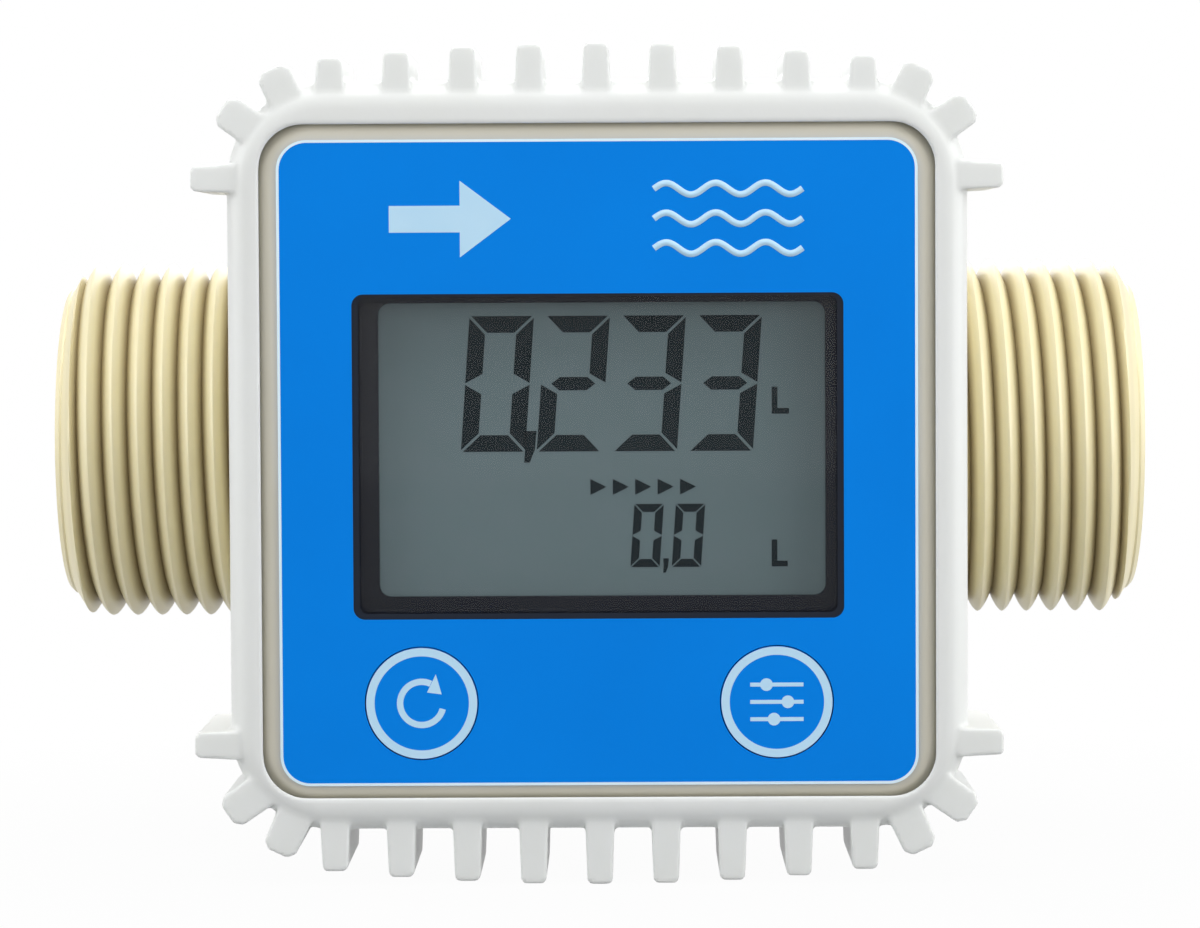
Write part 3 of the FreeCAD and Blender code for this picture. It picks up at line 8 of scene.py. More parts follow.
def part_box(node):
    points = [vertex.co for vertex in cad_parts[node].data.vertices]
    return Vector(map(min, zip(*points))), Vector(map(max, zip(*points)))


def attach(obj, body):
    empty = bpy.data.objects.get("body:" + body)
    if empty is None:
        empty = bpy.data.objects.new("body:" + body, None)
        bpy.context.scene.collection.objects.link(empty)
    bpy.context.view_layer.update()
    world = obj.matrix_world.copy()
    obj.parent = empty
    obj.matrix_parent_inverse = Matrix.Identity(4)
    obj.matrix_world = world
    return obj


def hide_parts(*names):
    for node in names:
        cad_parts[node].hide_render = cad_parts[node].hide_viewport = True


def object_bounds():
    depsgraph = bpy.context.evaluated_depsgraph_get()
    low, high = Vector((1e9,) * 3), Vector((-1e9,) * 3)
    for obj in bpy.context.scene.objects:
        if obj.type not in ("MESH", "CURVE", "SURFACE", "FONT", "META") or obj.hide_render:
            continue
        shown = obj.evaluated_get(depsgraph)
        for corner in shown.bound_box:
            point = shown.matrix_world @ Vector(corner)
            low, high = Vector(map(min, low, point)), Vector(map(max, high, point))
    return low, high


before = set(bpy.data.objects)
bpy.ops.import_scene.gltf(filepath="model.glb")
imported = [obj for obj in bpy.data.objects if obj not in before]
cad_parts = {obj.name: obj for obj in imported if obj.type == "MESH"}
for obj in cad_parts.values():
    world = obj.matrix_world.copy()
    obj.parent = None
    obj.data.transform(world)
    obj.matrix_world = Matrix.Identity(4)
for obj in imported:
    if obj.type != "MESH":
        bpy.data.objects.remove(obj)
cad_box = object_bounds()
MM = 0.001


# Line body: one moulding in glass-filled nylon, with both threaded ends, the rotor's barrel and
# the tray of the display head. Its threads are right-handed one inch pipe threads. They take the
# place of the solid's plain cylinders, and the rest of the moulding stays as it is.
THREAD_PITCH = 2.309 * MM
THREAD_DEPTH = 1.8 * MM
THREAD_MAJOR = 16.6245 * MM
CREST_SHARPNESS = 1.6
PILOT_RADIUS = 14.5045 * MM
PILOT_LENGTH = 0.6 * MM
LEAD_LENGTH = 1.3 * MM
THREAD_END = 17.7 * MM
LINE_LENGTH = 100 * MM
CUT_MARGIN = 0.01 * MM
STEPS_ROUND = 144
ROWS_A_PITCH = 14
INLET_CREST = 3.82 * MM + THREAD_PITCH / 2
OUTLET_CREST = 85.66 * MM + THREAD_PITCH / 2
VALLEY_TINT = 0.85
VALLEY_TOP = 0.3
LEAD_TINT_STARTS = 1 * MM
LEAD_TINT_FULL = 2 * MM


def linear(hex_text):
    """Linear colour from an sRGB hex value."""
    parts = [int(hex_text[i:i + 2], 16) / 255 for i in (1, 3, 5)]
    return [c / 12.92 if c <= 0.04045 else ((c + 0.055) / 1.055) ** 2.4 for c in parts] + [1.0]


def add_node(tree, kind, inputs=None, **settings):
    """Node with its settings. An input is a value, a socket, or a node for its first output."""
    added = tree.nodes.new(kind)
    for name, value in settings.items():
        setattr(added, name, value)
    for name, value in (inputs or {}).items():
        if isinstance(value, bpy.types.Node):
            value = value.outputs[0]
        if isinstance(value, bpy.types.NodeSocket):
            tree.links.new(value, added.inputs[name])
        else:
            added.inputs[name].default_value = value
    return added


def finish(name, first, second, patch_mm, grain_mm=None, relief_mm=0.0, edge_mm=0.0, **shader):
    """Material whose two colours drift over patches of a real size, on a finely grained skin.

    The other arguments are Principled inputs, with _ for a space."""
    material = bpy.data.materials.new(name)
    material.use_nodes = True
    tree = material.node_tree
    tree.nodes.clear()
    coords = add_node(tree, "ShaderNodeTexCoord").outputs["Object"]
    patches = add_node(tree, "ShaderNodeTexNoise", {
        "Vector": coords, "Scale": 1 / (patch_mm * MM), "Detail": 2.0})
    colour = add_node(tree, "ShaderNodeMix", {
        "Factor": patches, "A": linear(first), "B": linear(second)}, data_type="RGBA")
    inputs = {label.replace("_", " "): value for label, value in shader.items()}
    inputs["Base Color"] = colour.outputs["Result"]
    if edge_mm:
        inputs["Normal"] = add_node(tree, "ShaderNodeBevel", {"Radius": edge_mm * MM}, samples=4)
    if grain_mm:
        skin = add_node(tree, "ShaderNodeTexNoise", {
            "Vector": coords, "Scale": 1 / (grain_mm * MM), "Detail": 3.0})
        raised = {"Height": skin, "Distance": relief_mm * MM}
        if "Normal" in inputs:
            raised["Normal"] = inputs["Normal"]
        inputs["Normal"] = add_node(tree, "ShaderNodeBump", raised)
    body = add_node(tree, "ShaderNodeBsdfPrincipled", inputs)
    add_node(tree, "ShaderNodeOutputMaterial", {"Surface": body})
    return material


def opened(material):
    """Node tree, shader and plain colour of a finish, to build on."""
    tree = material.node_tree
    body = next(n for n in tree.nodes if n.type == "BSDF_PRINCIPLED")
    return tree, body, body.inputs["Base Color"].links[0].from_socket


# Moulded nylon: cream, a little translucent, with a soft sheen, and flow marks as faint clouds.
nylon = finish(
    "glass-filled nylon, moulded", "#F0E6C0", "#E8DEB4", 7.0, grain_mm=0.3, relief_mm=0.004,
    Roughness=0.36, IOR=1.53, Subsurface_Weight=0.1,
    Subsurface_Radius=(1.0, 0.85, 0.5), Subsurface_Scale=0.4 * MM)

# A darker tint in the threads' valleys, by distance from the line's axis. It stands in for the
# deep shade that they have between two side lamps. It spares the bore, the barrel and the
# lead-in cones.
tree, body, plain = opened(nylon)
axes = add_node(tree, "ShaderNodeSeparateXYZ", {
    "Vector": add_node(tree, "ShaderNodeTexCoord").outputs["Object"]}).outputs
off_axis = add_node(tree, "ShaderNodeVectorMath", {
    0: add_node(tree, "ShaderNodeCombineXYZ", {"Y": axes["Y"], "Z": axes["Z"]})},
    operation="LENGTH").outputs["Value"]
sunk = add_node(tree, "ShaderNodeMapRange", {
    "Value": off_axis, "From Min": THREAD_MAJOR - THREAD_DEPTH,
    "From Max": THREAD_MAJOR - VALLEY_TOP * THREAD_DEPTH, "To Min": VALLEY_TINT,
    "To Max": 0.0})
outside = add_node(tree, "ShaderNodeMath", {0: off_axis, 1: PILOT_RADIUS + CUT_MARGIN},
                   operation="GREATER_THAN")
from_middle = add_node(tree, "ShaderNodeMath", {
    0: add_node(tree, "ShaderNodeMath", {0: axes["X"], 1: LINE_LENGTH / 2},
                operation="SUBTRACT")}, operation="ABSOLUTE")
threaded = add_node(tree, "ShaderNodeMath", {
    0: from_middle, 1: LINE_LENGTH / 2 - THREAD_END}, operation="GREATER_THAN")
not_lead = add_node(tree, "ShaderNodeMapRange", {
    "Value": from_middle, "From Min": LINE_LENGTH / 2 - LEAD_TINT_FULL,
    "From Max": LINE_LENGTH / 2 - LEAD_TINT_STARTS, "To Min": 1.0, "To Max": 0.0})
share = sunk
for spared in (outside, threaded, not_lead):
    share = add_node(tree, "ShaderNodeMath", {0: share, 1: spared}, operation="MULTIPLY")
deepened = add_node(tree, "ShaderNodeMix", {
    "Factor": share, "A": plain, "B": linear("#98855A")}, data_type="RGBA")
tree.links.new(deepened.outputs["Result"], body.inputs["Base Color"])


def merged_copy(name, node, material):
    """Object in the given finish with a welded copy of a CAD node's mesh."""
    shape = bmesh.new()
    shape.from_mesh(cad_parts[node].data)
    bmesh.ops.remove_doubles(shape, verts=shape.verts, dist=0.001 * MM)
    mesh = bpy.data.meshes.new(name)
    shape.to_mesh(mesh)
    shape.free()
    for stored in ("custom_normal", "sharp_edge", "sharp_face"):
        if stored in mesh.attributes:
            mesh.attributes.remove(mesh.attributes[stored])
    mesh.materials.append(material)
    piece = bpy.data.objects.new(name, mesh)
    bpy.context.scene.collection.objects.link(piece)
    return piece


def smooth_by_angle(piece, degrees):
    """Smooth shading, with a crease wherever two faces meet at more than the angle."""
    shape = bmesh.new()
    shape.from_mesh(piece.data)
    for face in shape.faces:
        face.smooth = True
        face.material_index = 0
    for edge in shape.edges:
        edge.smooth = edge.calc_face_angle(0) < math.radians(degrees)
    shape.to_mesh(piece.data)
    shape.free()


def bake_modifiers(piece):
    """Turn what the modifiers make into the piece's plain mesh."""
    graph = bpy.context.evaluated_depsgraph_get()
    mesh = bpy.data.meshes.new_from_object(piece.evaluated_get(graph))
    piece.modifiers.clear()
    piece.data = mesh
    mesh.name = piece.name


def grow(piece, tree, values):
    """Make the piece's mesh with a node tree, whose inputs are given by their names."""
    modifier = piece.modifiers.new("grow", "NODES")
    modifier.node_group = tree
    identifiers = {item.name: item.identifier for item in tree.interface.items_tree}
    for label, value in values.items():
        modifier[identifiers[label]] = value
    bake_modifiers(piece)


def new_tree(name, numbers, counts=()):
    """Geometry node tree with its mesh input, its named inputs and its mesh output."""
    tree = bpy.data.node_groups.new(name, "GeometryNodeTree")
    tree.interface.new_socket("Geometry", in_out="INPUT", socket_type="NodeSocketGeometry")
    for label in numbers:
        tree.interface.new_socket(label, in_out="INPUT", socket_type="NodeSocketFloat")
    for label in counts:
        tree.interface.new_socket(label, in_out="INPUT", socket_type="NodeSocketInt")
    tree.interface.new_socket("Finish", in_out="INPUT", socket_type="NodeSocketMaterial")
    tree.interface.new_socket("Geometry", in_out="OUTPUT", socket_type="NodeSocketGeometry")
    return tree, add_node(tree, "NodeGroupInput").outputs


def end_tree(tree, mesh, material):
    """Close a tree with real geometry in its finish."""
    real = add_node(tree, "GeometryNodeRealizeInstances", {"Geometry": mesh})
    finished = add_node(tree, "GeometryNodeSetMaterial", {"Geometry": real, "Material": material})
    add_node(tree, "NodeGroupOutput", {"Geometry": finished})


# A grid is rolled up along the X axis. Its rows rise by one pitch a turn and stop at the
# thread's ends, and its radius falls from each crest to a narrow valley. The first row lies on
# a crest outside the thread, so that the seam's rows meet and every crest has a row.
thread_tree, given = new_tree(
    "pipe_thread", ("Major Radius", "Depth", "Sharpness", "Pitch", "Low End", "High End",
                    "First Row", "Row Step", "Lead At", "Lead Radius", "Lead Slope"),
    ("Steps Round", "Rows Along"))
grid = add_node(thread_tree, "GeometryNodeMeshGrid", {
    "Size X": 1.0, "Size Y": 1.0, "Vertices X": given["Rows Along"],
    "Vertices Y": given["Steps Round"]})
shares = add_node(thread_tree, "ShaderNodeSeparateXYZ", {
    "Vector": add_node(thread_tree, "ShaderNodeVectorMath", {
        0: add_node(thread_tree, "GeometryNodeInputPosition"), 1: (0.5, 0.5, 0.0)},
        operation="ADD")}).outputs
steps_along = add_node(thread_tree, "ShaderNodeMath", {
    0: given["Rows Along"], 1: 1.0}, operation="SUBTRACT")
reach = add_node(thread_tree, "ShaderNodeMath", {
    0: steps_along, 1: given["Row Step"]}, operation="MULTIPLY")
row = add_node(thread_tree, "ShaderNodeMath", {
    0: shares["X"], 1: reach, 2: given["First Row"]}, operation="MULTIPLY_ADD")
risen = add_node(thread_tree, "ShaderNodeMath", {
    0: shares["Y"], 1: given["Pitch"], 2: row}, operation="MULTIPLY_ADD")
along = add_node(thread_tree, "ShaderNodeClamp", {
    "Value": risen, "Min": given["Low End"], "Max": given["High End"]})
past_crest = add_node(thread_tree, "ShaderNodeMath", {
    0: along, 1: given["First Row"]}, operation="SUBTRACT")
pitches = add_node(thread_tree, "ShaderNodeMath", {
    0: past_crest, 1: given["Pitch"]}, operation="DIVIDE")
unrolled = add_node(thread_tree, "ShaderNodeMath", {
    0: pitches, 1: shares["Y"]}, operation="SUBTRACT")
from_crest = add_node(thread_tree, "ShaderNodeMath", {0: unrolled, 1: 0.5}, operation="PINGPONG")
fallen = add_node(thread_tree, "ShaderNodeMath", {
    0: add_node(thread_tree, "ShaderNodeMath", {0: from_crest, 1: 2.0}, operation="MULTIPLY"),
    1: given["Sharpness"]}, operation="POWER")
depth = add_node(thread_tree, "ShaderNodeMath", {
    0: fallen, 1: given["Depth"]}, operation="MULTIPLY")
cut = add_node(thread_tree, "ShaderNodeMath", {
    0: given["Major Radius"], 1: depth}, operation="SUBTRACT")
past_lead = add_node(thread_tree, "ShaderNodeMath", {
    0: along, 1: given["Lead At"]}, operation="SUBTRACT")
lead_in = add_node(thread_tree, "ShaderNodeMath", {
    0: add_node(thread_tree, "ShaderNodeMath", {0: past_lead}, operation="ABSOLUTE"),
    1: given["Lead Slope"], 2: given["Lead Radius"]}, operation="MULTIPLY_ADD")
radius = add_node(thread_tree, "ShaderNodeMath", {0: cut, 1: lead_in}, operation="MINIMUM")
angle = add_node(thread_tree, "ShaderNodeMath", {
    0: shares["Y"], 1: math.tau}, operation="MULTIPLY")
upward = add_node(thread_tree, "ShaderNodeMath", {
    0: add_node(thread_tree, "ShaderNodeMath", {0: angle}, operation="COSINE"),
    1: radius}, operation="MULTIPLY")
backward = add_node(thread_tree, "ShaderNodeMath", {
    0: add_node(thread_tree, "ShaderNodeMath", {0: angle}, operation="SINE"),
    1: radius}, operation="MULTIPLY")
forward = add_node(thread_tree, "ShaderNodeMath", {0: backward, 1: -1.0}, operation="MULTIPLY")
rolled = add_node(thread_tree, "GeometryNodeSetPosition", {
    "Geometry": grid, "Position": add_node(thread_tree, "ShaderNodeCombineXYZ", {
        "X": along, "Y": forward, "Z": upward})})
welded = add_node(thread_tree, "GeometryNodeMergeByDistance", {
    "Geometry": rolled, "Distance": 0.002 * MM})
end_tree(thread_tree, add_node(thread_tree, "GeometryNodeFlipFaces", {"Mesh": welded}),
         given["Finish"])


def on_plain_thread(face):
    """Whether a face belongs to the lead-in cone or the cylinder that a thread replaces."""
    ends = [min(v.co.x, LINE_LENGTH - v.co.x) for v in face.verts]
    radii = [math.hypot(v.co.y, v.co.z) for v in face.verts]
    inside = min(ends) > PILOT_LENGTH - CUT_MARGIN and max(ends) < THREAD_END + CUT_MARGIN
    outside = min(radii) > PILOT_RADIUS - CUT_MARGIN and max(radii) < THREAD_MAJOR + CUT_MARGIN
    return inside and outside


line_body = merged_copy("line_body", "meter_body", nylon)
shape = bmesh.new()
shape.from_mesh(line_body.data)
bmesh.ops.delete(shape, geom=[f for f in shape.faces if on_plain_thread(f)], context="FACES")
for low, high, lead_at, inner_end, crest in (
    (PILOT_LENGTH, THREAD_END, PILOT_LENGTH, THREAD_END, INLET_CREST),
    (LINE_LENGTH - THREAD_END, LINE_LENGTH - PILOT_LENGTH, LINE_LENGTH - PILOT_LENGTH,
     LINE_LENGTH - THREAD_END, OUTLET_CREST),
):
    thread = bpy.data.objects.new("thread", bpy.data.meshes.new("thread"))
    bpy.context.scene.collection.objects.link(thread)
    row_step = THREAD_PITCH / ROWS_A_PITCH
    first_row = crest - THREAD_PITCH * (math.ceil((crest - low) / THREAD_PITCH) + 1)
    grow(thread, thread_tree, {
        "Major Radius": THREAD_MAJOR, "Depth": THREAD_DEPTH, "Sharpness": CREST_SHARPNESS,
        "Pitch": THREAD_PITCH, "Low End": low, "High End": high, "First Row": first_row,
        "Row Step": row_step, "Lead At": lead_at, "Lead Radius": PILOT_RADIUS,
        "Lead Slope": (THREAD_MAJOR - PILOT_RADIUS) / LEAD_LENGTH,
        "Steps Round": STEPS_ROUND + 1,
        "Rows Along": math.ceil((high - first_row) / row_step) + 1, "Finish": nylon})
    # The inner end runs out against a ring at the full radius, so that no gap is left there.
    ring = bmesh.new()
    ring.from_mesh(thread.data)
    rim = [e for e in ring.edges if e.is_boundary
           and all(abs(v.co.x - inner_end) < CUT_MARGIN for v in e.verts)]
    for item in bmesh.ops.extrude_edge_only(ring, edges=rim)["geom"]:
        if isinstance(item, bmesh.types.BMVert):
            item.co.yz = item.co.yz.normalized() * THREAD_MAJOR
    ring.to_mesh(thread.data)
    ring.free()
    shape.from_mesh(thread.data)
    bpy.data.objects.remove(thread)

# Each end of a thread is sewn to the moulding's rim at the same place.
for x, radius in ((PILOT_LENGTH, PILOT_RADIUS), (THREAD_END, THREAD_MAJOR),
                  (LINE_LENGTH - THREAD_END, THREAD_MAJOR),
                  (LINE_LENGTH - PILOT_LENGTH, PILOT_RADIUS)):
    seam = [e for e in shape.edges if e.is_boundary and all(
        abs(v.co.x - x) < CUT_MARGIN and abs(math.hypot(v.co.y, v.co.z) - radius) < CUT_MARGIN
        for v in e.verts)]
    bmesh.ops.bridge_loops(shape, edges=seam)
shape.to_mesh(line_body.data)
shape.free()
smooth_by_angle(line_body, 40)
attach(line_body, "meter")
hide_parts("meter_body")


# Flow straighteners: acetal mouldings with thin vanes and a half-ball nose that slide into
# their seats in the line. Bent wire rings of spring steel hold them, and their hubs carry bushes.
def dressed(name, node, material, body="meter", degrees=35):
    """Smoothly shaded copy of a CAD node in its real finish, in the node's place."""
    piece = merged_copy(name, node, material)
    smooth_by_angle(piece, degrees)
    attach(piece, body)
    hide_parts(node)
    return piece


# Natural acetal: milky white and slightly waxy.
acetal = finish("natural acetal, moulded", "#ECECE6", "#E4E4DC", 5.0, grain_mm=0.4,
                relief_mm=0.002, Roughness=0.32, IOR=1.48, Subsurface_Weight=0.15,
                Subsurface_Scale=1 * MM)
# Rolled spring steel: grey and bright, with fine marks from rolling.
spring_steel = finish("stainless steel, rolled", "#B9BABB", "#A9ABAD", 1.5, grain_mm=0.08,
                      relief_mm=0.002, Metallic=1.0, Roughness=0.28)
# Sintered ceramic: dense, off-white and nearly matt.
ceramic = finish("alumina, sintered and ground", "#E9E4DA", "#DED9CE", 0.8, grain_mm=0.06,
                 relief_mm=0.002, Roughness=0.45, IOR=1.76)
for end in ("inlet", "outlet"):
    dressed(f"{end}_vanes", f"{end}_straightener", acetal)
    dressed(f"{end}_wire_ring", f"{end}_retaining_ring", spring_steel)
    dressed(f"{end}_bush_sleeve", f"{end}_bush", ceramic)
    dressed(f"{end}_washer", f"{end}_thrust_washer", ceramic)


# Rotor: six twisted blades and their hub in one moulding, turned by the liquid. Two magnets in
# the hub pass the pickup on the circuit board, and the ground shaft runs in the bushes.
# Dyed acetal: even and satin, a little darker where the flow marks meet.
rotor_blue = finish("dyed acetal, moulded", "#2F6FA8", "#2A659B", 3.0, grain_mm=0.25,
                    relief_mm=0.002, Roughness=0.35, IOR=1.48)
# Nickel plate: bright and faintly yellow.
nickel = finish("nickel plate", "#C9C5BB", "#BDB8AC", 1.2, grain_mm=0.05, relief_mm=0.001,
                Metallic=1.0, Roughness=0.22)
# Ground stainless steel: mirror-like, with fine scratches.
ground_steel = finish("stainless steel, ground", "#C4C6C8", "#B6B9BC", 1.0, grain_mm=0.04,
                      relief_mm=0.001, Metallic=1.0, Roughness=0.16)
dressed("bladed_rotor", "turbine_rotor", rotor_blue, body="rotor")
dressed("hub_magnets", "rotor_magnets", nickel, body="rotor")
dressed("ground_shaft", "rotor_shaft", ground_steel, body="rotor")


# Cells: two AAA cells lie in a moulded holder on the tray's floor, between plated contacts.
# Satin black ABS, with the fine grain of a spark-eroded mould.
black_abs = finish("black ABS, moulded", "#15171B", "#1B1D21", 4.0, grain_mm=0.2,
                   relief_mm=0.006, Roughness=0.4, IOR=1.53)
# Shrunk PVC sleeve: glossy, slightly uneven over the steel can.
cell_sleeve = finish("PVC sleeve, shrunk on", "#3A4A44", "#44564F", 6.0, grain_mm=1.5,
                     relief_mm=0.01, Roughness=0.25, IOR=1.54)
dressed("cell_tray", "cell_holder", black_abs)
dressed("upper_dry_cell", "upper_cell", cell_sleeve)
dressed("lower_dry_cell", "lower_cell", cell_sleeve)
dressed("contact_springs", "negative_contacts", nickel)
dressed("contact_plates", "positive_contacts", nickel)


# Circuit board: glass-epoxy laminate under green solder mask, screwed to the cover's standoffs.
# It carries the controller, the pickup for the rotor's magnets and a switch behind each key.
# Solder mask: glossy green, lighter where copper tracks lie under it.
solder_mask = finish("solder mask on laminate", "#1F6A42", "#185636", 1.6, grain_mm=0.6,
                     relief_mm=0.01, Roughness=0.28, IOR=1.55)
# Moulding compound: charcoal, matt and finely rough.
compound = finish("epoxy moulding compound", "#222326", "#2A2B2E", 1.0, grain_mm=0.1,
                  relief_mm=0.006, Roughness=0.62, IOR=1.55)
# Nylon of the switch bases: grey-black, satin.
switch_black = finish("black nylon, moulded", "#1C1D20", "#242528", 1.5, grain_mm=0.15,
                      relief_mm=0.004, Roughness=0.48, IOR=1.53)
# Acetal of the stems: ivory and waxy.
stem_ivory = finish("ivory acetal, moulded", "#DDD6C2", "#D3CCB6", 1.5, grain_mm=0.2,
                    relief_mm=0.002, Roughness=0.36, IOR=1.48)
dressed("green_board", "circuit_board", solder_mask)
dressed("controller_package", "controller_chip", compound)
dressed("magnet_pickup", "pickup_sensor", compound)
dressed("board_fixings", "board_screws", spring_steel)
for key in ("reset", "calibrate"):
    dressed(f"{key}_switch_base", f"{key}_switch", switch_black)
    dressed(f"{key}_switch_stem", f"{key}_switch_button", stem_ivory,
            body=f"{key}_button")


# Seal and case screws: a soft rubber ring in the tray's step, and four pan-head steel screws
# from behind, each with a cross recess struck into its head.
HEAD_CENTRE = Vector((50, 0, -0.6)) * MM
SCREW_SPREAD = 48.4 * MM
SCREW_HEAD_FACE = -13.0045 * MM
RECESS_SPAN = 3.1 * MM
RECESS_DEPTH = 1.25 * MM
RECESS_FLATNESS = 0.26
PLUG_RISE = 0.06 * MM

# Nitrile rubber: black and dull.
nitrile = finish("nitrile rubber, moulded", "#1A1A1B", "#222223", 2.0, grain_mm=0.3,
                 relief_mm=0.006, Roughness=0.7, IOR=1.52)
# Zinc-plated steel: bright and faintly blue, with small dull spots.
zinc = finish("zinc plate, passivated", "#C2C8CE", "#AEB4BA", 0.7, grain_mm=0.1,
              relief_mm=0.003, Metallic=1.0, Roughness=0.3)
dressed("seal_ring", "head_seal", nitrile)

# Two flattened, tapering plugs cross at each screw's place and are cut out of its head. They
# stand a little proud of it, so that the cut is clean.
recess_tree, given = new_tree(
    "cross_recess", ("Spread", "Span", "Depth", "Flatness", "Centre X", "Centre Z", "Face Y"))
plug = add_node(recess_tree, "GeometryNodeMeshCone", {
    "Vertices": 24, "Depth": given["Depth"],
    "Radius Top": add_node(recess_tree, "ShaderNodeMath", {
        0: given["Span"], 1: 0.5}, operation="MULTIPLY"),
    "Radius Bottom": add_node(recess_tree, "ShaderNodeMath", {
        0: given["Span"], 1: 0.2}, operation="MULTIPLY")})
flat = add_node(recess_tree, "ShaderNodeCombineXYZ", {
    "X": 1.0, "Y": given["Flatness"], "Z": 1.0})
wing = add_node(recess_tree, "GeometryNodeTransform", {"Geometry": plug, "Scale": flat})
cross_wing = add_node(recess_tree, "GeometryNodeTransform", {
    "Geometry": wing, "Rotation": (0.0, 0.0, math.pi / 2)})
both = add_node(recess_tree, "GeometryNodeJoinGeometry")
recess_tree.links.new(wing.outputs[0], both.inputs["Geometry"])
recess_tree.links.new(cross_wing.outputs[0], both.inputs["Geometry"])
corners = add_node(recess_tree, "GeometryNodeMeshGrid", {
    "Size X": given["Spread"], "Size Y": given["Spread"], "Vertices X": 2, "Vertices Y": 2})
placed = add_node(recess_tree, "GeometryNodeInstanceOnPoints", {
    "Points": corners, "Instance": both})
standing = add_node(recess_tree, "GeometryNodeTransform", {
    "Geometry": placed, "Rotation": (-math.pi / 2, 0.0, 0.0),
    "Translation": add_node(recess_tree, "ShaderNodeCombineXYZ", {
        "X": given["Centre X"], "Z": given["Centre Z"],
        "Y": add_node(recess_tree, "ShaderNodeMath", {
            0: given["Face Y"], 1: given["Depth"]}, operation="SUBTRACT")})})
struck = add_node(recess_tree, "GeometryNodeMeshBoolean", {
    "Mesh 1": given["Geometry"],
    "Mesh 2": add_node(recess_tree, "GeometryNodeRealizeInstances", {"Geometry": standing}),
    "Self Intersection": True}, operation="DIFFERENCE", solver="EXACT")
end_tree(recess_tree, struck, given["Finish"])

screws = merged_copy("case_screw_set", "case_screws", zinc)
grow(screws, recess_tree, {
    "Spread": SCREW_SPREAD, "Span": RECESS_SPAN, "Depth": RECESS_DEPTH,
    "Flatness": RECESS_FLATNESS, "Centre X": HEAD_CENTRE.x, "Centre Z": HEAD_CENTRE.z,
    "Face Y": SCREW_HEAD_FACE + PLUG_RISE, "Finish": zinc})
smooth_by_angle(screws, 35)
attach(screws, "meter")
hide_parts("case_screws")


# Front cover: an ABS moulding in ivory whose clear-coated rim shows between film and jacket.
# It closes the tray and holds the window, the keys and, behind, the circuit board.
# Clear-coated ABS: ivory under a thick, wet-looking coat.
ivory_abs = finish("ivory ABS, clear-coated", "#CFCAB8", "#C5C0AD", 14.0, grain_mm=0.9,
                   relief_mm=0.003, edge_mm=0.2, Roughness=0.3, IOR=1.54, Coat_Weight=0.9,
                   Coat_Roughness=0.05)
dressed("ivory_cover", "front_cover", ivory_abs)


# Display: a reflective liquid crystal glass in a black frame, on two conductive rubber strips.
# A clear plate in the cover's window protects it. The dark segments lie in the glass.
SEGMENT_RELIEF = 0.03 * MM
SLANT = math.tan(math.radians(4))

# Conductive rubber: black and matt, with thin stripes along the strip.
zebra = finish("conductive rubber, layered", "#2B2A2B", "#3A393A", 0.3, grain_mm=0.1,
               relief_mm=0.004, Roughness=0.75)
# Reflector foil: brushed silver-grey.
foil = finish("reflector foil, brushed", "#A9B0AC", "#9CA39F", 1.0, grain_mm=0.05,
              relief_mm=0.002, Metallic=0.6, Roughness=0.42)
# Gloss black ABS: nearly blue-black, and smooth enough to show the window's edges.
gloss_black = finish("black ABS, polished mould", "#060A18", "#090E1D", 9.0, grain_mm=0.6,
                     relief_mm=0.002, edge_mm=0.12, Roughness=0.22, IOR=1.54,
                     Specular_IOR_Level=0.15)
# Polycarbonate: clear, so only its gloss and a faint smoky tint show.
polycarbonate = finish("clear polycarbonate", "#2A3034", "#30363B", 20.0, Roughness=0.04,
                       IOR=1.58, Alpha=0.08)
dressed("zebra_strip_upper", "upper_contact_strip", zebra)
dressed("zebra_strip_lower", "lower_contact_strip", zebra)
dressed("mirror_foil", "lcd_reflector", foil)
dressed("display_frame", "lcd_bezel", gloss_black)
dressed("window_plate", "window_lens", polycarbonate)

# Display glass: grey-green, with the reflector's fine speckle. A painted reflection of the window
# plate makes it lighter towards its lower left and darker towards its upper right.
lcd_glass = finish("liquid crystal glass", "#788A90", "#70868A", 2.0, grain_mm=0.12,
                   relief_mm=0.001, Roughness=0.3, IOR=1.52, Specular_IOR_Level=0.2)
tree, body, plain = opened(lcd_glass)
# Painted reflection: the glass's colour darkens across it towards the upper right.
across = add_node(tree, "ShaderNodeMapping", {
    "Vector": add_node(tree, "ShaderNodeTexCoord").outputs["Object"],
    "Location": (-0.72, 0.0, -0.05), "Scale": (24.0, 0.0, -22.0)})
fade = add_node(tree, "ShaderNodeVectorMath", {
    0: across, 1: (0.5, 0.0, -0.5)}, operation="DOT_PRODUCT")
shade = add_node(tree, "ShaderNodeMapRange", {
    "Value": fade.outputs["Value"], "From Min": -0.3, "From Max": 0.9, "To Min": 0.0,
    "To Max": 0.5})
with_painted_reflection = add_node(tree, "ShaderNodeMix", {
    "Factor": shade, "A": plain, "B": linear("#4C5C5A")}, data_type="RGBA")
tree.links.new(with_painted_reflection.outputs["Result"], body.inputs["Base Color"])
dressed("display_glass_plate", "lcd_glass", lcd_glass)

# Segment ink: blue-black, as the crystal looks when it is switched on.
segment_dark = finish("liquid crystal, switched on", "#172125", "#1C262A", 3.0, Roughness=0.35,
                      IOR=1.52, Specular_IOR_Level=0.05)


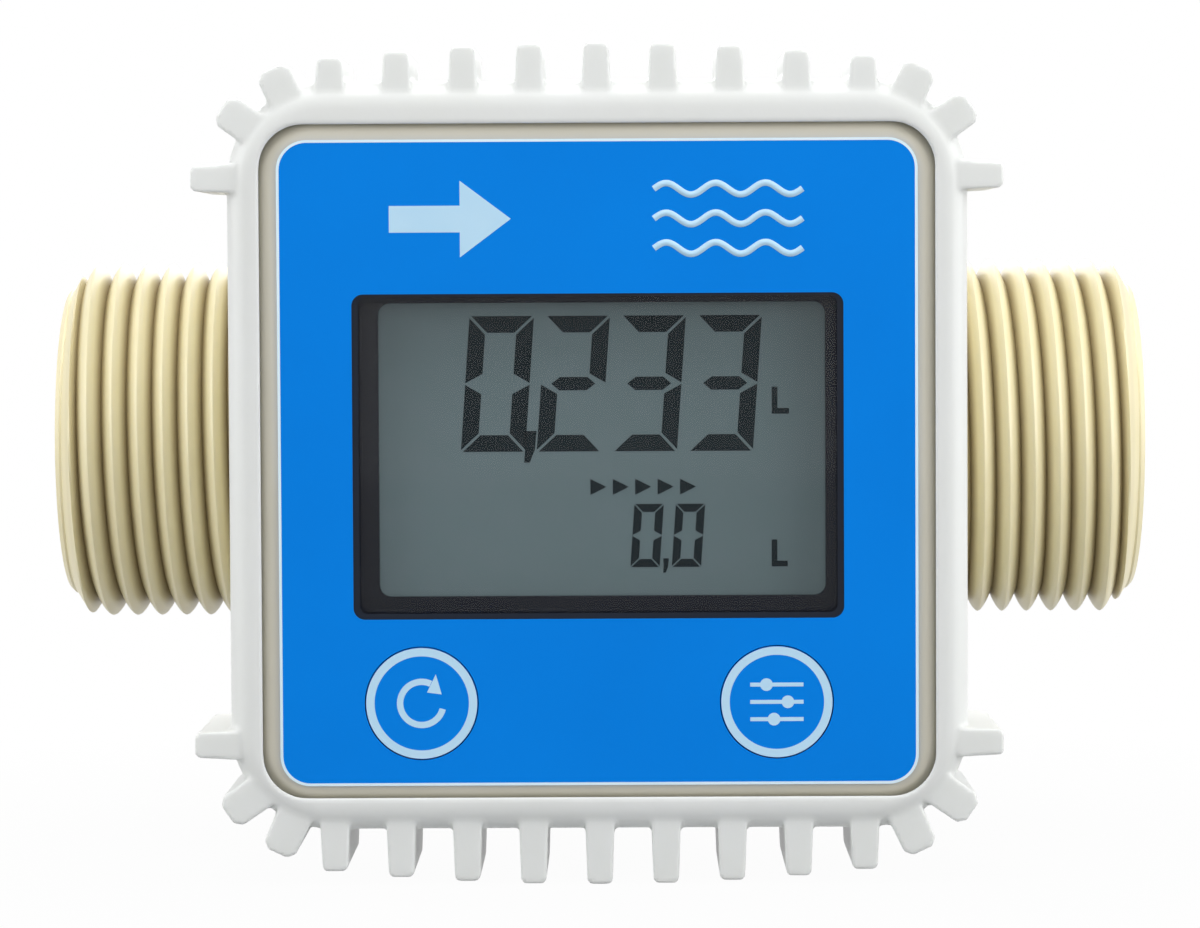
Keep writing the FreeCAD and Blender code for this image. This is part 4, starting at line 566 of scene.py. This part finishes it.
def plates(name, outlines, back, relief, material, body="meter"):
    """Thin flat shapes from outlines in millimetres across (X) and up (Z), facing the viewer."""
    shape = bmesh.new()
    for outline in outlines:
        lower = [shape.verts.new((x * MM, back, z * MM)) for x, z in outline]
        upper = [shape.verts.new((x * MM, back - relief, z * MM)) for x, z in outline]
        shape.faces.new(lower)
        shape.faces.new(upper)
        for i in range(len(outline)):
            k = (i + 1) % len(outline)
            shape.faces.new((lower[i], lower[k], upper[k], upper[i]))
    bmesh.ops.recalc_face_normals(shape, faces=shape.faces)
    mesh = bpy.data.meshes.new(name)
    shape.to_mesh(mesh)
    shape.free()
    mesh.materials.append(material)
    piece = bpy.data.objects.new(name, mesh)
    bpy.context.scene.collection.objects.link(piece)
    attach(piece, body)
    return piece


def digit(number, left, foot, width, height, bar, gap):
    """Outlines of the seven-segment strokes that a number shows, leaning to the right."""
    middle, half = height / 2, bar / 2
    side = [(width, height - gap), (width, middle + half * 0.1),
            (width - bar, middle + half + gap), (width - bar, height - bar - gap)]
    strokes = {
        "top": [(gap, height), (width - gap, height), (width - bar - gap, height - bar),
                (bar + gap, height - bar)],
        "upper_right": side,
        "upper_left": [(width - x, z) for x, z in side],
        "lower_right": [(x, height - z) for x, z in side],
        "lower_left": [(width - x, height - z) for x, z in side],
        "bottom": [(gap, 0), (width - gap, 0), (width - bar - gap, bar), (bar + gap, bar)],
        "middle": [(half + gap, middle), (bar + gap, middle + half * 0.8),
                   (width - bar - gap, middle + half * 0.8), (width - half - gap, middle),
                   (width - bar - gap, middle - half * 0.8), (bar + gap, middle - half * 0.8)],
    }
    shown = {
        0: ("top", "upper_right", "upper_left", "lower_right", "lower_left", "bottom"),
        2: ("top", "upper_right", "middle", "lower_left", "bottom"),
        3: ("top", "upper_right", "middle", "lower_right", "bottom"),
    }[number]
    return [[(left + x + z * SLANT, foot + z) for x, z in strokes[s]] for s in shown]


def comma(left, top, size):
    """Outline of the decimal mark at the foot of a digit."""
    return [(left, top), (left + size, top), (left + size * 0.85, top - size * 1.5),
            (left + size * 0.45, top - size * 2.5), (left, top - size * 2.5),
            (left + size * 0.1, top - size * 1.2)]


def unit_letter(left, foot, width, height, bar):
    """Outline of the capital L beside a number, which stands for litres."""
    return [(left, foot), (left + width, foot), (left + width, foot + bar),
            (left + bar, foot + bar), (left + bar, foot + height), (left, foot + height)]


def band(name, outer, inner, back, relief, material, body="meter"):
    """Flat closed band between two loops of like points, facing the viewer."""
    shape = bmesh.new()
    rings = [[shape.verts.new((x, y, z)) for x, z in loop] for loop, y in (
        (outer, back - relief), (inner, back - relief), (inner, back), (outer, back))]
    for ring, after in zip(rings, rings[1:] + rings[:1]):
        for i in range(len(outer)):
            k = (i + 1) % len(outer)
            shape.faces.new((ring[i], after[i], after[k], ring[k]))
    bmesh.ops.recalc_face_normals(shape, faces=shape.faces)
    mesh = bpy.data.meshes.new(name)
    shape.to_mesh(mesh)
    shape.free()
    mesh.materials.append(material)
    piece = bpy.data.objects.new(name, mesh)
    bpy.context.scene.collection.objects.link(piece)
    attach(piece, body)


def arc(x, z, radius, first, last, steps):
    """Points on an arc, from one angle in degrees to another."""
    turns = (math.radians(first + (last - first) * i / steps) for i in range(steps + 1))
    return [(x + radius * math.cos(a), z + radius * math.sin(a)) for a in turns]


def rounded(low_x, high_x, low_z, high_z, radius):
    """Closed outline of a rectangle with rounded corners."""
    corners = ((high_x - radius, low_z + radius, -90), (high_x - radius, high_z - radius, 0),
               (low_x + radius, high_z - radius, 90), (low_x + radius, low_z + radius, 180))
    return [point for x, z, first in corners for point in arc(x, z, radius, first, first + 90, 12)]


# The shown numbers are placed in millimetres on the glass: four large digits, then a row of
# small arrowheads and two small digits below. A unit letter stands beside each number.
LARGE_LEFT, LARGE_FOOT, LARGE_STEP = 38.05, 0.1, 6.6
LARGE_DIGIT = {"width": 5.6, "height": 11.8, "bar": 1.45, "gap": 0.16}
SMALL_LEFT, SMALL_FOOT, SMALL_STEP = 52.75, -10.0, 3.6
SMALL_DIGIT = {"width": 2.55, "height": 5.5, "bar": 0.7, "gap": 0.08}
outlines = [comma(43.55, 1.9, 1.1), comma(55.6, -9.25, 0.5),
            unit_letter(65.1, 3.3, 1.5, 2.35, 0.5), unit_letter(65.05, -10.0, 1.4, 2.35, 0.5)]
for place, number in enumerate((0, 2, 3, 3)):
    outlines += digit(number, LARGE_LEFT + LARGE_STEP * place, LARGE_FOOT, **LARGE_DIGIT)
for place, number in enumerate((0, 0)):
    outlines += digit(number, SMALL_LEFT + SMALL_STEP * place, SMALL_FOOT, **SMALL_DIGIT)
outlines += [[(49.3 + 1.95 * i, -3.7), (50.7 + 1.95 * i, -3.0), (49.3 + 1.95 * i, -2.3)]
             for i in range(5)]
glass_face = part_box("lcd_glass")[0].y
plates("display_segments", outlines, glass_face, SEGMENT_RELIEF, segment_dark)

# Screen ink round the window's edge: blue-black and satin, over the joint with the cover.
MASK_RELIEF = 0.012 * MM
WINDOW_LEFT, WINDOW_RIGHT = 28.8 * MM, 71.2 * MM
WINDOW_FOOT, WINDOW_TOP = -14.25 * MM, 13.85 * MM
MASK_SIDE, MASK_FOOT, MASK_TOP = 0.55 * MM, 0.5 * MM, 0.25 * MM
mask_ink = finish("screen ink, blue-black", "#0A1422", "#0E1929", 4.0, grain_mm=0.12,
                  relief_mm=0.002, Roughness=0.38, Specular_IOR_Level=0.2)
band("window_mask",
     rounded(WINDOW_LEFT, WINDOW_RIGHT, WINDOW_FOOT, WINDOW_TOP, 1.0 * MM),
     rounded(WINDOW_LEFT + MASK_SIDE, WINDOW_RIGHT - MASK_SIDE, WINDOW_FOOT + MASK_FOOT,
             WINDOW_TOP - MASK_TOP, 0.7 * MM),
     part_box("window_lens")[0].y, MASK_RELIEF, mask_ink)


# Printed film: polyester, printed blue on its back and satin in front, glued to the cover. A
# pale band along its edge is painted highlight. The signs are a flow arrow and waves for a liquid.
INK_RELIEF = 0.012 * MM
FILM_CORNER = 2.6 * MM
EDGE_HIGHLIGHT_WIDTH = 0.24 * MM
film_low, film_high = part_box("overlay_film")

# Film printed on its back: an even, slightly deeper blue in the middle, with a satin skin.
film_blue = finish("polyester film, printed blue", "#0086EC", "#007EE2", 16.0, grain_mm=0.25,
                   relief_mm=0.002, Roughness=0.45, IOR=1.6, Specular_IOR_Level=0.05)
# Painted highlight along the film's edge: pale and glossy.
painted_edge_highlight = finish("polyester film, painted edge highlight", "#E4F5FD", "#D2ECF9", 5.0, Roughness=0.2,
                      IOR=1.6)
# Screen ink: pale blue, matt and slightly raised.
pale_ink = finish("screen ink, pale blue", "#BFE2F8", "#B4DCF6", 3.0, grain_mm=0.15,
                  relief_mm=0.002, Roughness=0.5)
dressed("blue_film", "overlay_film", film_blue)


def film_outline(inset):
    """The film's rounded outline, moved inwards."""
    return rounded(film_low.x + inset, film_high.x - inset, film_low.z + inset,
                   film_high.z - inset, FILM_CORNER - inset)


# Painted highlight: a thin pale band along the film's edge.
band("film_edge_highlight", film_outline(0), film_outline(EDGE_HIGHLIGHT_WIDTH), film_low.y, INK_RELIEF,
     painted_edge_highlight)
plates("flow_arrow", [
    [(32.1, 19.15), (38.2, 19.15), (38.2, 17.0), (42.6, 20.3), (38.2, 23.6), (38.2, 21.45),
     (32.1, 21.45)]], film_low.y, INK_RELIEF, pale_ink)

# A straight line is bent into a wave, given a flat section and repeated downwards.
wave_tree, given = new_tree(
    "printed_waves", ("Left", "Right", "Top", "Spacing", "Height", "Length", "Width", "Relief",
                      "Face Y"), ("Lines", "Steps"))
line = add_node(wave_tree, "GeometryNodeCurvePrimitiveLine", {
    "Start": add_node(wave_tree, "ShaderNodeCombineXYZ", {
        "X": given["Left"], "Y": given["Face Y"], "Z": given["Top"]}),
    "End": add_node(wave_tree, "ShaderNodeCombineXYZ", {
        "X": given["Right"], "Y": given["Face Y"], "Z": given["Top"]})})
stepped = add_node(wave_tree, "GeometryNodeResampleCurve", {
    "Curve": line, "Count": given["Steps"]})
position = add_node(wave_tree, "GeometryNodeInputPosition")
run = add_node(wave_tree, "ShaderNodeMath", {
    0: add_node(wave_tree, "ShaderNodeSeparateXYZ", {"Vector": position}),
    1: given["Left"]}, operation="SUBTRACT")
turns = add_node(wave_tree, "ShaderNodeMath", {0: run, 1: given["Length"]}, operation="DIVIDE")
phase = add_node(wave_tree, "ShaderNodeMath", {0: turns, 1: math.tau}, operation="MULTIPLY")
rise = add_node(wave_tree, "ShaderNodeMath", {
    0: add_node(wave_tree, "ShaderNodeMath", {0: phase}, operation="SINE"),
    1: given["Height"]}, operation="MULTIPLY")
bent = add_node(wave_tree, "GeometryNodeSetPosition", {
    "Geometry": stepped, "Offset": add_node(wave_tree, "ShaderNodeCombineXYZ", {"Z": rise})})
upright = add_node(wave_tree, "GeometryNodeSetCurveNormal", {"Curve": bent})
upright.mode = "Z_UP"
section = add_node(wave_tree, "GeometryNodeCurvePrimitiveQuadrilateral", {
    "Width": given["Relief"], "Height": given["Width"]})
printed = add_node(wave_tree, "GeometryNodeCurveToMesh", {
    "Curve": upright, "Profile Curve": section, "Fill Caps": True})
downward = add_node(wave_tree, "ShaderNodeMath", {
    0: given["Spacing"], 1: -1.0}, operation="MULTIPLY")
rows = add_node(wave_tree, "GeometryNodeMeshLine", {
    "Count": given["Lines"], "Offset": add_node(wave_tree, "ShaderNodeCombineXYZ", {
        "Z": downward})})
repeated = add_node(wave_tree, "GeometryNodeInstanceOnPoints", {
    "Points": rows, "Instance": printed})
end_tree(wave_tree, repeated, given["Finish"])

waves = bpy.data.objects.new("liquid_waves", bpy.data.meshes.new("liquid_waves"))
bpy.context.scene.collection.objects.link(waves)
grow(waves, wave_tree, {
    "Left": 54.9 * MM, "Right": 67.7 * MM, "Top": 22.8 * MM, "Spacing": 2.55 * MM,
    "Height": 0.5 * MM, "Length": 4.27 * MM, "Width": 0.55 * MM, "Relief": 2 * INK_RELIEF,
    "Face Y": film_low.y, "Lines": 3, "Steps": 73, "Finish": pale_ink})
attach(waves, "meter")


# Keys: two round moulded caps in the film's blue, held by their flanges behind the cover, each
# with a printed ring. The left one has a round arrow for setting back to zero, the right one has
# sliders for calibration. The signs' sizes are in millimetres.
RING_RADIUS = 4.8 * MM
RING_WIDTH = 0.72 * MM
TURN_OUTER = 2.15
TURN_INNER = 1.6
SLIDER_REACH = 2.3
SLIDER_HALF_LINE = 0.17
KNOB_RADIUS = 0.55
KNOB_JOINS_AT = 18
for key in ("reset", "calibrate"):
    dressed(f"{key}_cap", f"{key}_key", film_blue, body=f"{key}_button")
    low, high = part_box(f"{key}_key")
    x, z = (low.x + high.x) / 2, (low.z + high.z) / 2
    band(f"{key}_ring", arc(x, z, RING_RADIUS, 0, 360 - 360 / 96, 95),
         arc(x, z, RING_RADIUS - RING_WIDTH, 0, 360 - 360 / 96, 95), low.y, INK_RELIEF,
         pale_ink, body=f"{key}_button")
    x, z = x / MM, z / MM
    if key == "reset":
        turn = arc(x, z, TURN_OUTER, 65, 345, 40)
        back = arc(x, z, TURN_INNER, 345, 65, 40)
        tip = [(x + r * math.cos(math.radians(a)), z + r * math.sin(math.radians(a)))
               for r, a in ((1.05, 64), (1.9, 24), (2.8, 64))]
        outlines = [turn + back, tip]
    else:
        outlines = []
        for rise, knob in ((1.5, -0.9), (0.0, 0.95), (-1.5, -0.25)):
            foot, top = z + rise - SLIDER_HALF_LINE, z + rise + SLIDER_HALF_LINE
            outlines.append(
                [(x - SLIDER_REACH, foot)]
                + arc(x + knob, z + rise, KNOB_RADIUS, 180 + KNOB_JOINS_AT, 360 - KNOB_JOINS_AT, 14)
                + [(x + SLIDER_REACH, foot), (x + SLIDER_REACH, top)]
                + arc(x + knob, z + rise, KNOB_RADIUS, KNOB_JOINS_AT, 180 - KNOB_JOINS_AT, 14)
                + [(x - SLIDER_REACH, top)])
    plates(f"{key}_sign", outlines, low.y, INK_RELIEF, pale_ink,
           body=f"{key}_button")


# Jacket: one soft moulding of translucent silicone, stretched over the head, with a fringe of
# teeth. The mould leaves every edge and every tooth's foot with a small radius, so the copy of
# the solid is remeshed and relaxed.
JACKET_VOXEL = 0.3 * MM
JACKET_TRIANGLES = 170000

# Silicone: milky and even, so light sinks in at its edges and its skin is satin.
silicone = finish("translucent silicone, moulded", "#E9EBEA", "#E2E4E1", 11.0, grain_mm=0.6,
                  relief_mm=0.006, Roughness=0.33, IOR=1.41, Subsurface_Weight=0.35,
                  Subsurface_Radius=(1.0, 1.0, 0.95), Subsurface_Scale=0.9 * MM)
jacket = merged_copy("silicone_jacket", "rubber_boot", silicone)
bpy.context.view_layer.objects.active = jacket
jacket.select_set(True)
jacket.data.remesh_voxel_size = JACKET_VOXEL
bpy.ops.object.voxel_remesh()
relax = jacket.modifiers.new("relax", "SMOOTH")
relax.factor = 0.5
relax.iterations = 2
jacket.data.calc_loop_triangles()
thin = jacket.modifiers.new("thin", "DECIMATE")
thin.ratio = min(1.0, JACKET_TRIANGLES / len(jacket.data.loop_triangles))
bake_modifiers(jacket)
if not jacket.data.materials:
    jacket.data.materials.append(silicone)
smooth_by_angle(jacket, 80)
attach(jacket, "meter")
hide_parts("rubber_boot")


# Studio: a white sweep under the teeth, large lamps to both sides as in a light tent, and
# weaker ones above, in front and behind. The camera stands a little above the line's axis,
# square to the display.
CAMERA_AT = Vector((52.41, -418.3, 15.8)) * MM
CAMERA_DOWN = 0.0438
CAMERA_YAW = -0.0059
CAMERA_ROLL = -0.0051
FOCAL_PIXELS = 4411
PHOTO_WIDTH = 1200
SENSOR_WIDTH = 36.0
FLOOR_HALF = 1.5
CARD_NEAR = 30 * MM
CARD_FAR = 120 * MM
CARD_NEAR_WHITE = 0.97
LAMP_TARGET = Vector((50, -15, 0)) * MM

ahead = Vector((math.sin(CAMERA_YAW) * math.cos(CAMERA_DOWN),
                math.cos(CAMERA_YAW) * math.cos(CAMERA_DOWN), -math.sin(CAMERA_DOWN)))
level = Vector((math.cos(CAMERA_YAW), -math.sin(CAMERA_YAW), 0))
upward = level.cross(ahead)
right = level * math.cos(CAMERA_ROLL) + upward * math.sin(CAMERA_ROLL)
above = upward * math.cos(CAMERA_ROLL) - level * math.sin(CAMERA_ROLL)
view = bpy.data.cameras.new("camera")
view.sensor_width = SENSOR_WIDTH
view.lens = FOCAL_PIXELS / PHOTO_WIDTH * SENSOR_WIDTH
view.clip_start = 0.01
camera = bpy.data.objects.new("camera", view)
turned = Matrix((right, above, -ahead)).transposed().to_4x4()
camera.matrix_world = Matrix.Translation(CAMERA_AT) @ turned
bpy.context.scene.collection.objects.link(camera)
bpy.context.scene.camera = camera

# White card: matt near the meter, where its shadow falls, and plain white further out.
card = bpy.data.materials.new("white card")
card.use_nodes = True
tree = card.node_tree
tree.nodes.clear()
coords = add_node(tree, "ShaderNodeTexCoord").outputs["Object"]
seen = add_node(tree, "ShaderNodeLightPath").outputs
matt = add_node(tree, "ShaderNodeBsdfDiffuse", {"Color": linear("#A4A4A4")})
lit = add_node(tree, "ShaderNodeEmission", {"Color": linear("#FFFFFF"), "Strength": 1.0})
direct = add_node(tree, "ShaderNodeMath", {
    0: seen["Is Camera Ray"], 1: seen["Is Glossy Ray"]}, operation="MAXIMUM")
distance = add_node(tree, "ShaderNodeVectorMath", {
    0: coords, 1: (0.05, -0.02, cad_box[0].z)}, operation="DISTANCE")
whiter = add_node(tree, "ShaderNodeMapRange", {
    "Value": distance.outputs["Value"], "From Min": CARD_NEAR, "From Max": CARD_FAR,
    "To Min": CARD_NEAR_WHITE, "To Max": 1.0})
share = add_node(tree, "ShaderNodeMath", {0: direct, 1: whiter}, operation="MULTIPLY")
add_node(tree, "ShaderNodeOutputMaterial", {
    "Surface": add_node(tree, "ShaderNodeMixShader", {0: share, 1: matt, 2: lit})})
floor_mesh = bpy.data.meshes.new("floor")
floor_mesh.from_pydata([(x * FLOOR_HALF, y * FLOOR_HALF, cad_box[0].z)
                        for x, y in ((-1, -1), (1, -1), (1, 1), (-1, 1))], [], [(0, 1, 2, 3)])
floor_mesh.materials.append(card)
floor = bpy.data.objects.new("floor", floor_mesh)
bpy.context.scene.collection.objects.link(floor)

world = bpy.data.worlds.new("studio")
bpy.context.scene.world = world
world.use_nodes = True
tree = world.node_tree
tree.nodes.clear()
seen = add_node(tree, "ShaderNodeLightPath").outputs
direct = add_node(tree, "ShaderNodeMath", {
    0: seen["Is Camera Ray"], 1: seen["Is Transmission Ray"]}, operation="MAXIMUM")
direct = add_node(tree, "ShaderNodeMath", {
    0: direct, 1: seen["Is Glossy Ray"]}, operation="MAXIMUM")
soft = add_node(tree, "ShaderNodeBackground", {"Color": linear("#FFFFFF"), "Strength": 0.3})
white = add_node(tree, "ShaderNodeBackground", {"Color": linear("#FFFFFF"), "Strength": 1.0})
add_node(tree, "ShaderNodeOutputWorld", {
    "Surface": add_node(tree, "ShaderNodeMixShader", {0: direct, 1: soft, 2: white})})

for name, at, size, watts in (
    ("left_lamp", (-420, -170, 60), 480, 1.85),
    ("right_lamp", (520, -170, 60), 480, 2.5),
    ("top_lamp", (50, -120, 430), 340, 1.3),
    ("front_lamp", (50, -500, 120), 300, 0.25),
    ("back_lamp", (50, 420, 220), 340, 0.9),
):
    light = bpy.data.lights.new(name, "AREA")
    light.size = size * MM
    light.energy = watts
    lamp = bpy.data.objects.new(name, light)
    place = Vector(at) * MM
    aim = (LAMP_TARGET - place).to_track_quat("-Z", "Y").to_matrix().to_4x4()
    lamp.matrix_world = Matrix.Translation(place) @ aim
    bpy.context.scene.collection.objects.link(lamp)

bpy.context.scene.view_settings.view_transform = "Standard"
